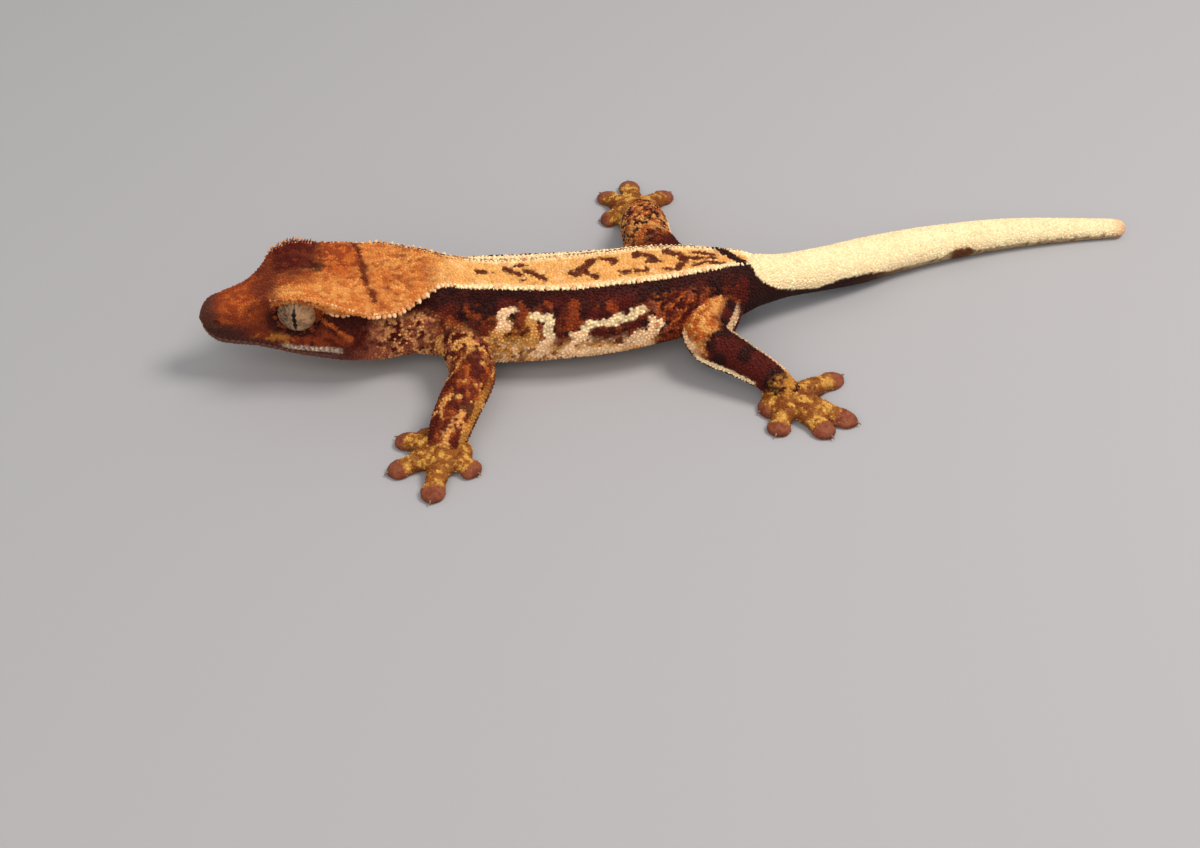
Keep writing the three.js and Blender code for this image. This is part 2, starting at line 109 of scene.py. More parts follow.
CREST_OUT = profile([
    (0, 1.3), (3, 1.9), (6, 2.5), (7.8, 3.3), (9.2, 4.9), (11.2, 5.75), (14, 6.1), (17, 6.9), (19.3, 7.2),
    (21.8, 6.7), (24.6, 4.9), (27.4, 2.8), (32, 2.6), (42, 3.1), (49, 3.1), (55, 2.5), (60.5, 1.5), (63, 1.3),
])
CREST_HEIGHT = profile([
    (0, 1.6), (3, 1.85), (6, 2.3), (7.8, 3.2), (9.4, 4.2), (11.2, 4.5), (14, 3.8), (17, 3.0), (19.3, 2.6),
    (21.8, 2.6), (24.6, 3.3), (27.4, 4.1), (32, 3.9), (36, 3.85), (44, 4.2), (53, 4.1), (60.5, 3.4),
    (63, 2.8),
])
TEMPLE_OUT = profile([
    (0, 1.5), (3, 2.3), (6, 3.0), (8.5, 3.3), (11, 3.7), (14, 4.5), (17, 5.2), (20, 5.2), (25, 4.3),
    (32, 4.9), (42, 5.2), (51, 4.7), (57, 3.9), (63, 2.6),
])
TEMPLE_HEIGHT = profile([
    (0, 0.6), (6, 0.8), (11, 1.2), (17, 1.4), (25, 2.0), (32, 2.7), (44, 2.8), (57, 2.3), (63, 1.5),
])
SIDE_OUT = profile([
    (0, 1.7), (3, 2.5), (6, 3.3), (8.5, 4.0), (11, 4.7), (14, 5.4), (17, 6.0), (20, 5.9), (25, 4.9),
    (28, 5.2), (32, 6.2), (42, 6.4), (49, 6.2), (55, 5.1), (59, 4.2), (63, 3.0),
])
SIDE_HEIGHT = profile([
    (0, -0.4), (6, -1.3), (11, -2.1), (17, -2.1), (25, -0.6), (32, -0.6), (44, -0.7), (63, -0.2),
])
LOWER_OUT = profile([
    (0, 1.5), (3, 2.4), (6, 3.0), (11, 4.1), (17, 5.1), (20, 5.0), (25, 4.2), (32, 4.8), (44, 4.9),
    (53, 4.2), (63, 2.2),
])
LOWER_HEIGHT = profile([
    (0, -1.4), (3, -2.1), (6, -2.6), (11, -3.7), (17, -4.4), (20, -4.6), (25, -4.3), (32, -4.65), (44, -3.75),
    (57, -3.2), (63, -2.1),
])
BELLY_HEIGHT = profile([
    (0, -1.8), (3, -2.6), (6, -3.15), (11, -4.1), (17, -4.9), (20, -5.1), (25, -4.8), (32, -5.25),
    (44, -4.5), (57, -4.2), (63, -3.0),
])
TRUNK_LINES = (
    (np.zeros_like, BACK_HEIGHT),
    (CREST_OUT, CREST_HEIGHT),
    (TEMPLE_OUT, TEMPLE_HEIGHT),
    (SIDE_OUT, SIDE_HEIGHT),
    (LOWER_OUT, LOWER_HEIGHT),
    (np.zeros_like, BELLY_HEIGHT),
)
TAIL_RADIUS = profile([
    (60, 2.9), (66, 2.45), (72, 2.5), (77, 2.6), (83, 2.4), (90, 2.12), (98.6, 1.78), (106.6, 1.38),
    (TOTAL_LENGTH, 1.1),
])
TAIL_SHAPE = ((0, 1), (0.58, 0.82), (0.92, 0.4), (1, -0.1), (0.72, -0.7), (0, -1))


def smooth(a, b, s):
    t = np.clip((s - a) / (b - a), 0, 1)
    return t * t * (3 - 2 * t)


def unit(v):
    return v / np.maximum(np.linalg.norm(v, axis=-1, keepdims=True), 1e-12)


def spine_frame(s):
    """Position, and the directions tailwards, to the left and up, at each station."""
    def at(t):
        return np.stack([SPINE_X(t), SPINE_Y(t), SPINE_Z(t)], -1)

    along = unit(at(s + 0.4) - at(s - 0.4))
    left = unit(np.cross(along, (0, 0, 1)))
    up = unit(np.cross(left, along))
    return at(s), along, left, up


def round_end(distance, reach):
    return np.sqrt(np.maximum(0, 1 - np.maximum(0, 1 - distance / reach) ** 2))


def section_keys(s):
    """The section's six lines at each station, as (out, height): an array of (station, line, 2)."""
    trunk = np.stack([np.stack([out(s), height(s)], -1) for out, height in TRUNK_LINES], 1)
    tail = np.array(TAIL_SHAPE)[None] * TAIL_RADIUS(s)[:, None, None]
    share = smooth(TAIL_STARTS, TAIL_IS_ROUND, s)[:, None, None]
    taper = round_end(s, SNOUT_ROUND) * round_end(TOTAL_LENGTH - s, TAIL_TIP_ROUND)
    return taper[:, None, None] * (trunk * (1 - share) + tail * share)


def section_point(keys, v):
    """A place on one half of each section: v runs 0 at the back, 1 at the crest, 5 under the belly."""
    if v <= 1:
        out = keys[:, 1, 0] * v
        height = keys[:, 0, 1] + (keys[:, 1, 1] - keys[:, 0, 1]) * v * v
        return np.stack([out, height], -1)
    i = min(4, int(v))
    t = v - i
    a, b = keys[:, i], keys[:, i + 1]
    before = 2 * a - b if i == 1 else keys[:, i - 1]
    after = keys[:, 4] * (-1, 1) if i == 4 else keys[:, i + 2]
    p, q = (b - before) / 2, (after - a) / 2
    bend = t * (1 - t) * ((1 - t) * p - t * q)
    return (1 - t) ** 2 * (1 + 2 * t) * a + t * t * (3 - 2 * t) * b + bend


def body_grid(stations, places, side):
    """Points of one side of the body: an array of (station, place, 3), and the sections' (out, height)."""
    keys = section_keys(stations)
    flat = np.stack([section_point(keys, v) for v in places], 1)
    origin, _, left, up = spine_frame(stations)
    points = origin[:, None] + side * flat[..., :1] * left[:, None] + flat[..., 1:] * up[:, None]
    return points, flat


# Eyes, mouth, nostrils and ears
EYE_RADIUS = 2.25
EYE_STATION = 11.4
EYE_SIDE = 3.75
EYE_LIFT = 1.75
EYE_FORWARD = 0.22
EYE_UPWARD = 0.12
RIM_RADIUS = 2.34
RIM_THICKNESS = 0.34
RIM_FORWARD = 0.75
NOSTRIL_STATION = 1.9
NOSTRIL_PLACE = 2.1
NOSTRIL_RADIUS = 0.26
EAR_STATION = 18.6
EAR_PLACE = 2.75
EAR_SIZE = (0.42, 0.9, 0.75)
MOUTH_CORNER = 16.6
MOUTH_PLACE = 3.45
HEAD_END = -25  # along X


def body_point(s, v, side):
    """Places on the body's surface at stations s and one place v on the section."""
    points, _ = body_grid(np.atleast_1d(np.asarray(s, float)), [v], side)
    return points[:, 0]


def eye_place(side):
    """The eyeball's centre, and the way it looks: outwards, a little forwards and a little up."""
    origin, along, left, up = (a[0] for a in spine_frame(np.array([EYE_STATION])))
    centre = origin + side * EYE_SIDE * left + EYE_LIFT * up
    return centre, unit(side * left - EYE_FORWARD * along + EYE_UPWARD * up)


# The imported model's place: where its left eye is, less where the gecko's own numbers put it
low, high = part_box("eye_left")
SHIFT = (np.array(low) + np.array(high)) / 2 / MM - eye_place(1)[0]

LEGS = {
    "front_left": dict(
        line=[(-19.6, -2.4, 4.6), (-19.1, -6.2, 4.0), (-18.3, -10.2, 3.7), (-19.4, -14.2, 3.1),
              (-20.3, -17.4, 2.35), (-20.9, -19.8, 1.2)],
        radii=[(0, 2.6), (0.2, 2.5), (0.4, 2.4), (0.6, 2.3), (0.8, 2.15), (1, 1.7)],
        toes=[(-23.6, -15.4), (-26.2, -16.6), (-26.7, -22.4), (-21.9, -26.9), (-17.1, -22.5)],
    ),
    "front_right": dict(
        line=[(-18.6, 2.0, 5.0), (-18.4, 5.4, 4.4), (-18.2, 7.9, 3.6), (-20.2, 9.2, 2.8),
              (-22.2, 10.4, 1.9), (-23.6, 11.4, 1.2)],
        radii=[(0, 2.5), (0.25, 2.3), (0.42, 2.3), (0.6, 2.15), (0.8, 1.85), (1, 1.5)],
        toes=[(-26.9, 8.0), (-29.3, 10.9), (-28.0, 16.0), (-23.6, 16.9), (-19.6, 14.2)],
    ),
    "hind_left": dict(
        line=[(9.6, 3.2, 4.8), (8.0, -1.2, 4.7), (7.5, -4.4, 4.1), (11.0, -7.1, 3.4),
              (14.1, -9.1, 2.5), (16.0, -10.9, 1.2)],
        radii=[(0, 2.6), (0.2, 2.8), (0.4, 2.5), (0.6, 1.95), (0.8, 1.65), (1, 1.5)],
        toes=[(12.7, -12.4), (14.2, -16.3), (20.2, -16.6), (23.2, -14.3), (22.3, -6.0)],
    ),
    "hind_right": dict(
        line=[(9.0, 5.6, 4.2), (4.9, 9.6, 3.4), (1.6, 13.8, 3.7), (0.9, 18.0, 3.4),
              (0.6, 21.9, 2.5), (-0.2, 25.4, 1.2)],
        radii=[(0, 2.2), (0.2, 2.3), (0.4, 2.8), (0.6, 2.8), (0.8, 2.3), (1, 1.6)],
        toes=[(-4.5, 24.7), (-4.5, 30.8), (-1.0, 33.6), (4.3, 31.0), (2.9, 23.0)],
    ),
}
PALM_RADIUS = 3.0
PALM_THICKNESS = 1.05
KNUCKLE_HEIGHT = 0.85
PAD_HEIGHT = 0.42
TOE_WIDTH = [(0, 1.5), (0.36, 1.2), (0.5, 1.05), (0.68, 1.35), (0.84, 1.15), (0.95, 0.6), (1, 0.25)]
TOE_FLATNESS = profile([(0, 0.9), (0.5, 0.8), (0.75, 0.55), (1, 0.5)])


def spline(points, t):
    """Places and directions along a smooth curve through points, for shares t of its length."""
    p = np.array(points, float)
    p = np.vstack([2 * p[0] - p[1], p, 2 * p[-1] - p[-2]])
    x = np.clip(t, 0, 1) * (len(points) - 1)
    i = np.minimum(x.astype(int), len(points) - 2)
    w = (x - i)[:, None]
    a, b, c, d = p[i], p[i + 1], p[i + 2], p[i + 3]
    m, n = (c - a) / 2, (d - b) / 2
    place = (
        (2 * w**3 - 3 * w**2 + 1) * b + (w**3 - 2 * w**2 + w) * m
        + (3 * w**2 - 2 * w**3) * c + (w**3 - w**2) * n
    )
    slope = (
        (6 * w**2 - 6 * w) * b + (3 * w**2 - 4 * w + 1) * m
        + (6 * w - 6 * w**2) * c + (3 * w**2 - 2 * w) * n
    )
    return place, unit(slope)


def quad_halves(a, b, c, d):
    """The two triangles of each quad."""
    corners = [x.ravel() for x in (a, b, c, d)]
    return np.concatenate([np.stack([corners[i] for i in three], -1) for three in ((0, 1, 2), (0, 2, 3))])


class Shell:
    """Closed shells in one mesh, with five tags at each point that say where on the gecko it is.

    On the body: station, distance below the crest, place on the section, distance from the midline, side.
    On legs and feet: share of the length, cosine and sine of the turn round it, toe, leg.
    """

    def __init__(self):
        self.points, self.faces, self.tags, self.parts = [], [], [], []
        self.count = 0

    def add(self, points, triangles, tags, part):
        a, b, c = (points[triangles[:, i]] for i in range(3))
        if np.einsum("ij,ij->", a, np.cross(b, c)) < 0:
            triangles = triangles[:, ::-1]
        self.points.append(points)
        self.faces.append(triangles + self.count)
        self.tags.append(tags)
        self.parts.append(np.full(len(triangles), part))
        self.count += len(points)

    def add_rings(self, rings, tags, part):
        """A closed surface through rings, an array of (ring, point, 3) that run the same way round."""
        n, m = rings.shape[:2]
        index = np.arange(n * m).reshape(n, m)
        after = np.roll(index, -1, axis=1)
        faces = [quad_halves(index[:-1], after[:-1], after[1:], index[1:])]
        faces.append(np.stack([np.full(m, n * m), after[0], index[0]], -1))
        faces.append(np.stack([np.full(m, n * m + 1), index[-1], after[-1]], -1))
        points = np.vstack([rings.reshape(-1, 3), rings[0].mean(0), rings[-1].mean(0)])
        ends = [tags[0].mean(0), tags[-1].mean(0)]
        self.add(points, np.concatenate(faces), np.vstack([tags.reshape(n * m, -1), *ends]), part)

    def done(self):
        return (np.concatenate(self.points), np.concatenate(self.faces), np.concatenate(self.tags),
                np.concatenate(self.parts))


def make_tags(*five):
    """Tags from five numbers or arrays."""
    return np.stack(np.broadcast_arrays(*five), -1)


# Kinds of part; a leg's or foot's number is added to its kind
BODY, LEG, FOOT, RIM = 0, 10, 20, 30
HIND_LEFT = list(LEGS).index("hind_left")
HIND_RIGHT = list(LEGS).index("hind_right")


def on_body(part):
    return (part == BODY) | (part == RIM)


def on_leg(part):
    return (part >= LEG) & (part < FOOT)


def on_foot(part):
    return (part >= FOOT) & (part < RIM)


def add_body(shell):
    nose = SNOUT_ROUND * (1 - np.cos(np.linspace(0.08, 1, 12) * math.pi / 2))
    tip = TOTAL_LENGTH - TAIL_TIP_ROUND * (1 - np.cos(np.linspace(1, 0.1, 8) * math.pi / 2))
    middle = np.concatenate([np.arange(2.9, 24, 0.28), np.arange(24.2, TOTAL_LENGTH - 1.5, 0.5)])
    stations = np.concatenate([nose, middle, tip])
    places = np.concatenate([np.linspace(0, 1, 7)[:-1], np.linspace(1, 5, 37)])
    left, flat = body_grid(stations, places, 1)
    right, _ = body_grid(stations, places, -1)
    steps = np.linalg.norm(np.diff(flat, axis=1), axis=2)
    arc = np.concatenate([np.zeros((len(stations), 1)), np.cumsum(steps, 1)], 1)
    below = arc - arc[:, 6:7]
    half = [make_tags(stations[:, None], below, places[None], side * arc, side) for side in (1, -1)]
    rings = np.concatenate([left, right[:, -2:0:-1]], 1)
    tags = np.concatenate([half[0], half[1][:, -2:0:-1]], 1)
    shell.add_rings(rings, tags, BODY)


def tube(points, radii, rows, sides, flatness=None):
    """Rings round a smooth curve, and the share of its length and the turn at each point."""
    t = 0.5 - 0.5 * np.cos(math.pi * (np.arange(rows + 1) + 0.35) / (rows + 0.7))
    place, along = spline(points, t)
    side = unit(np.cross(along, (0, 0, 1)))
    up = np.cross(side, along)
    radius = profile(radii)(t)[:, None, None]
    squash = 1.0 if flatness is None else flatness(t)[:, None, None]
    turn = 2 * math.pi * np.arange(sides) / sides
    cos, sin = np.cos(turn)[None, :, None], np.sin(turn)[None, :, None]
    rings = place[:, None] + up[:, None] * cos * radius * squash + side[:, None] * sin * radius
    return rings, t[:, None], turn[None]


def add_limb(shell, rings, share, turn, toe, k, kind):
    tags = make_tags(share, np.cos(turn), np.sin(turn), toe, k)
    shell.add_rings(rings[:, ::-1], tags[:, ::-1], kind + k)


def add_leg(shell, k, leg):
    add_limb(shell, *tube(leg["line"], leg["radii"], 48, 28), 0, k, LEG)
    palm = np.array(leg["line"][-1])
    fall = np.linspace(0.06, math.pi - 0.06, 14)[:, None]
    turn = np.linspace(0, 2 * math.pi, 28, endpoint=False)[None]
    ball = np.stack([np.sin(fall) * np.cos(turn), np.sin(fall) * np.sin(turn), np.cos(fall) + 0 * turn], -1)
    sole = ball * (PALM_RADIUS, PALM_RADIUS, PALM_THICKNESS) + (palm[0], palm[1], PALM_THICKNESS * 0.85)
    tags = np.zeros((*sole.shape[:2], 5)) + (0, 1, 0, 0, k)
    shell.add_rings(sole, tags, FOOT + k)
    for number, tip in enumerate(leg["toes"]):
        add_limb(shell, *toe_rings(palm, tip), number, k, FOOT)


def toe_rings(palm, tip):
    tip = np.array([*tip, 0.3])
    root = np.array([palm[0], palm[1], 0.95])
    knuckle = palm + (tip - palm) * 0.45
    pad = palm + (tip - palm) * 0.78
    knuckle[2], pad[2] = KNUCKLE_HEIGHT, PAD_HEIGHT
    return tube([root, knuckle, pad, tip], TOE_WIDTH, 22, 16, TOE_FLATNESS)


def add_rim(shell, side):
    """The ring of skin that holds the eye."""
    centre, look = eye_place(side)
    across = unit(np.cross(look, (0, 0, 1)))
    upright = np.cross(across, look)
    turn = np.linspace(0, 2 * math.pi, 48, endpoint=False)[:, None, None]
    roll = np.linspace(0, 2 * math.pi, 14, endpoint=False)[None, :, None]
    spoke = across * np.cos(turn) + upright * np.sin(turn)
    rings = centre + RIM_FORWARD * look + spoke * (RIM_RADIUS + RIM_THICKNESS * np.cos(roll))
    rings = rings + look * RIM_THICKNESS * np.sin(roll)
    n, m = rings.shape[:2]
    index = np.arange(n * m).reshape(n, m)
    after = np.roll(index, -1, axis=0)
    faces = quad_halves(index, after, np.roll(after, -1, 1), np.roll(index, -1, 1))
    tags = np.zeros((n * m, 5)) + (EYE_STATION, 2.5, 2.0, 0, side)
    shell.add(rings.reshape(-1, 3) - centre, faces, tags, RIM)
    shell.points[-1] = shell.points[-1] + centre


def mesh_from(name, points, faces):
    """A mesh in metres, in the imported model's frame, from arrays of points and of faces' corners."""
    mesh = bpy.data.meshes.new(name)
    mesh.vertices.add(len(points))
    corners = faces.shape[1]
    mesh.loops.add(faces.size)
    mesh.loops.foreach_set("vertex_index", faces.astype(np.int32).ravel())
    mesh.polygons.add(len(faces))
    mesh.polygons.foreach_set("loop_start", np.arange(0, faces.size, corners, dtype=np.int32))
    write_points(mesh, points)
    mesh.update(calc_edges=True)
    return mesh


def write_points(mesh, points):
    mesh.vertices.foreach_set("co", ((points + SHIFT) * MM).astype(np.float32).ravel())


# The skin, one closed surface over body, legs, feet and eye rims
VOXEL = 0.21
SMOOTH_ROUNDS = 6
GROOVE_DEPTH = 0.3
GROOVE_WIDTH = 0.2
LIP_RISE = 0.1
NOSTRIL_DEPTH = 0.5
EAR_DEPTH = 0.75


def make_shell():
    shell = Shell()
    add_body(shell)
    for k, leg in enumerate(LEGS.values()):
        add_leg(shell, k, leg)
    for side in (1, -1):
        add_rim(shell, side)
    return shell.done()


def add_object(name, data):
    obj = bpy.data.objects.new(name, data)
    bpy.context.scene.collection.objects.link(obj)
    return obj


def read_mesh(mesh):
    """The mesh's points in the gecko's millimetres, and its normals."""
    points = np.empty(len(mesh.vertices) * 3, np.float32)
    mesh.vertices.foreach_get("co", points)
    normals = np.empty(len(mesh.vertices) * 3, np.float32)
    mesh.vertex_normals.foreach_get("vector", normals)
    return points.reshape(-1, 3) / MM - SHIFT, normals.reshape(-1, 3)


def relax(points, edges, rounds):
    """Rounds off what is finer than the mesh, without shrinking what is thin."""
    count = np.bincount(edges.ravel(), minlength=len(points))[:, None]
    for k in range(rounds * 2):
        total = np.zeros_like(points)
        for axis in range(3):
            total[:, axis] += np.bincount(edges[:, 0], points[edges[:, 1], axis], len(points))
            total[:, axis] += np.bincount(edges[:, 1], points[edges[:, 0], axis], len(points))
        pull = 0.55 if k % 2 == 0 else -0.57
        points = points + pull * (total / count - points)
    return points


def tree_of(places):
    tree = KDTree(len(places))
    for i, place in enumerate(places.tolist()):
        tree.insert(place, i)
    tree.balance()
    return tree


def near(points, places):
    """Distance from each point to the nearest of some places."""
    tree = tree_of(places)
    return np.array([tree.find(p)[2] for p in points])


def mouth_line():
    s = 0.06 + (MOUTH_CORNER - 0.06) * np.linspace(0, 1, 140) ** 1.4
    return np.concatenate([body_point(s, MOUTH_PLACE, side) for side in (1, -1)])


def carve_head(points, normals):
    """The line between the lips, the nostrils and the ears, pressed into the skin."""
    head = np.nonzero(points[:, 0] < HEAD_END)[0]
    p, n = points[head], normals[head]
    d = near(p, mouth_line())
    p = p - n * (GROOVE_DEPTH * np.exp(-((d / GROOVE_WIDTH) ** 2)))[:, None]
    p = p + n * (LIP_RISE * np.exp(-(((d - 0.5) / 0.22) ** 2)))[:, None]
    for side in (1, -1):
        hole = body_point(NOSTRIL_STATION, NOSTRIL_PLACE, side)[0]
        d = np.linalg.norm(p - hole, axis=1)
        dip = NOSTRIL_DEPTH * np.exp(-((d / NOSTRIL_RADIUS) ** 2))
        p = p - n * (dip - LIP_RISE * np.exp(-(((d - 0.55) / 0.2) ** 2)))[:, None]
        ear = body_point(EAR_STATION, EAR_PLACE, side)[0]
        d = np.linalg.norm((p - ear) / EAR_SIZE, axis=1)
        p = p - n * (EAR_DEPTH * np.exp(-(d**4)))[:, None]
    points = points.copy()
    points[head] = p
    return points


def make_skin(shell_points, shell_faces):
    rough = add_object("rough skin", mesh_from("rough skin", shell_points, shell_faces))
    merge = rough.modifiers.new("merge", "REMESH")
    merge.mode = "VOXEL"
    merge.voxel_size = VOXEL * MM
    merge.adaptivity = 0
    merge.use_smooth_shade = True
    settled = rough.evaluated_get(bpy.context.evaluated_depsgraph_get())
    mesh = bpy.data.meshes.new_from_object(settled)
    mesh.name = "skin"
    bpy.data.objects.remove(rough)
    points, _ = read_mesh(mesh)
    edges = np.empty(len(mesh.edges) * 2, np.int32)
    mesh.edges.foreach_get("vertices", edges)
    points = relax(points, edges.reshape(-1, 2), SMOOTH_ROUNDS)
    write_points(mesh, points)
    mesh.update()
    points, normals = read_mesh(mesh)
    points = carve_head(points, normals)
    points[:, 2] = np.maximum(points[:, 2], 0.0)
    write_points(mesh, points)
    mesh.update()
    mesh.shade_smooth()
    return add_object("skin", mesh)


def locate(points, shell):
    """Where each point is on the gecko: the nearest part, and the tags of the nearest place on it."""
    shell_points, faces, tags, parts = shell
    tree = BVHTree.FromPolygons(shell_points.tolist(), faces.tolist(), all_triangles=True)
    found = [tree.find_nearest(p) for p in points.tolist()]
    face = np.array([f[2] for f in found])
    place = np.array([f[0] for f in found])
    corners = faces[face]
    gap = np.linalg.norm(shell_points[corners] - place[:, None], axis=2)
    weight = 1 / (gap**2 + 1e-6)
    weight /= weight.sum(1, keepdims=True)
    return parts[face], (tags[corners] * weight[..., None]).sum(1)


# Colours, as they look in daylight
CREAM = (255, 228, 180)
PALE_CREAM = (255, 214, 168)
BACK_TAN = (236, 178, 104)
TAN = (222, 160, 88)
CROWN_TAN = (214, 138, 68)
ORANGE = (190, 96, 36)
RUST = (146, 60, 22)
GOLDEN = (190, 130, 52)
BROWN = (120, 54, 22)
MAROON = (80, 17, 8)
DARK_MAROON = (42, 6, 3)
RED_BROWN = (116, 44, 22)
MUZZLE_GREY = (78, 44, 34)
LIP = (68, 34, 28)
DARK_LIP = (58, 28, 22)
LABIAL_WHITE = (214, 190, 168)
CHIN = (108, 68, 56)
PINK_BROWN = (160, 88, 62)
PEACH = (234, 164, 104)
BELLY = (214, 174, 130)
ARM_BROWN = (112, 42, 16)
FOOT_BROWN = (150, 88, 30)
FOOT_GOLD = (214, 160, 76)
PALM_BROWN = (122, 60, 20)
# painted shade for the toes' sides and undersides
TOE_UNDERSIDE_SHADE = (120, 62, 26)
PAD = (146, 82, 56)
PAD_END = (92, 48, 34)
SOLE = (176, 140, 112)
TAIL_CREAM = (255, 232, 184)
TAIL_SHADE = (92, 52, 22)
TAIL_SPECK = (112, 66, 30)
TAIL_END = (212, 150, 108)


def colour(rgb):
    """A daylight colour as linear light."""
    c = np.array(rgb, float) / 255
    return np.where(c <= 0.04045, c / 12.92, ((c + 0.055) / 1.055) ** 2.4)


def lattice(cell, seed):
    """A steady random value from 0 to 1 for each cell of space."""
    h = cell[..., 0] * 374761393 + cell[..., 1] * 668265263 + cell[..., 2] * 2147483647 + seed * 974634777
    h = (h & 0xFFFFFFFF) ^ ((h & 0xFFFFFFFF) >> 13)
    h = (h * 1274126177) & 0xFFFFFFFF
    return ((h ^ (h >> 16)) & 0xFFFF) / 65535


def noise(points, size, seed):
    """Soft random values from 0 to 1, in lumps of about a size."""
    q = np.asarray(points, float) / size + 1000.0
    cell = np.floor(q).astype(np.int64)
    f = q - cell
    f = f * f * (3 - 2 * f)
    total = np.zeros(len(q))
    for corner in itertools.product((0, 1), repeat=3):
        weight = np.where(corner, f, 1 - f).prod(1)
        total += weight * lattice(cell + corner, seed)
    return total


# The value that mottle most often has
EVEN = 0.48


def mottle(points, size, seed):
    """Uneven lumps, with smaller ones on them."""
    return (
        0.5 * noise(points, size, seed)
        + 0.3 * noise(points, size / 2.1, seed + 1)
        + 0.2 * noise(points, size / 4.3, seed + 2)
    )


def flecks(points, size, seed, low, high):
    """A mask of the places where mottle passes from low to high."""
    return smooth(low, high, mottle(points, size, seed))


def band(x, start, full, fade, end):
    """A mask of 1 from full to fade, that is 0 before start and after end."""
    return smooth(start, full, x) * smooth(end, fade, x)


def jitter(x, y, warp, reach):
    """Places shifted unevenly, for ragged edges."""
    return x + reach * (warp[0] - 0.5), y + reach * (warp[1] - 0.5)


def blend(base, over, mask):
    over = colour(over) if isinstance(over, tuple) else over
    return base + (over - base) * np.clip(mask, 0, 1)[:, None]


def lay(base, *coats):
    """Coats of paint, each a colour and a mask, laid one after another."""
    for tone, mask in coats:
        base = blend(base, tone, mask)
    return base


def plain(p, rgb):
    return np.zeros((len(p), 3)) + colour(rgb)


def stroke(x, y, line, width, soft=0.25):
    """A mark along a line of places in the plane of x and y: 1 inside, 0 outside."""
    best = np.full(len(x), 1e9)
    line = np.array(line, float)
    for a, b in zip(line[:-1], line[1:]):
        d = b - a
        t = np.clip(((x - a[0]) * d[0] + (y - a[1]) * d[1]) / (d @ d), 0, 1)
        best = np.minimum(best, np.hypot(x - a[0] - t * d[0], y - a[1] - t * d[1]))
    return 1 - smooth(-soft / 2, soft / 2, best - width / 2)


def spot(x, y, place, size, soft=0.3):
    d = np.hypot((x - place[0]) / size[0], (y - place[1]) / size[1])
    return 1 - smooth(1 - soft, 1 + soft, d)


# Dark marks on the back: lines of (station, place across) and widths; the right crest is at -3, the left at 3
BACK_MARKS = [
    ([(31.0, -0.6), (32.3, -0.3)], 0.8),
    ([(34.5, -1.0), (35.1, -0.3), (35.9, 0.2)], 0.95),
    ([(35.1, -1.4), (36.7, -1.7)], 0.55),
    ([(36.1, -0.6), (37.1, -0.2), (37.9, 0.5), (38.5, 1.2)], 0.85),
    ([(35.8, 1.2), (36.3, 1.3)], 0.5),
    ([(43.9, -1.4), (43.0, -0.4), (42.4, 0.3), (41.5, 0.6)], 1.0),
    ([(42.9, 0.2), (43.4, 0.9), (44.0, 1.5)], 0.8),
    ([(45.2, -1.8), (46.3, -1.2), (46.9, -0.7), (46.0, -0.4)], 0.8),
    ([(47.1, 1.1), (48.3, 1.35)], 1.0),
    ([(48.9, 1.3), (49.6, 1.2)], 0.7),
    ([(49.1, -1.6), (50.4, -1.5), (51.0, -0.4), (49.8, 0.1)], 0.9),
    ([(51.7, 1.6), (52.1, 1.7)], 0.5),
    ([(52.7, -1.9), (53.2, -1.3), (53.9, -0.7), (54.0, 0.4), (52.9, 1.7)], 1.0),
    ([(54.0, -0.4), (55.8, 0.0), (57.2, 0.2)], 0.9),
    ([(54.6, 1.6), (56.2, 1.1), (57.8, 1.8)], 0.75),
    ([(55.5, -1.5), (57.4, -0.9), (58.6, -0.6)], 0.8),
]
# The dark patch that crosses the back where the tail begins, and the bar and spots on the crown
SADDLE = [(58.7, -3.2), (59.2, -1.4), (59.6, 0.2), (60.0, 1.6), (60.2, 3.6)]
CROWN_BAR = [(17.8, -6.6), (18.3, -3.4), (18.7, 0.5), (19.1, 3.0), (19.6, 4.9)]
CROWN_SPOTS = [(22.1, 0.9), (23.6, 1.6), (24.4, -2.4), (25.4, 0.4), (25.9, 1.6), (22.8, -3.4), (20.9, 3.2)]
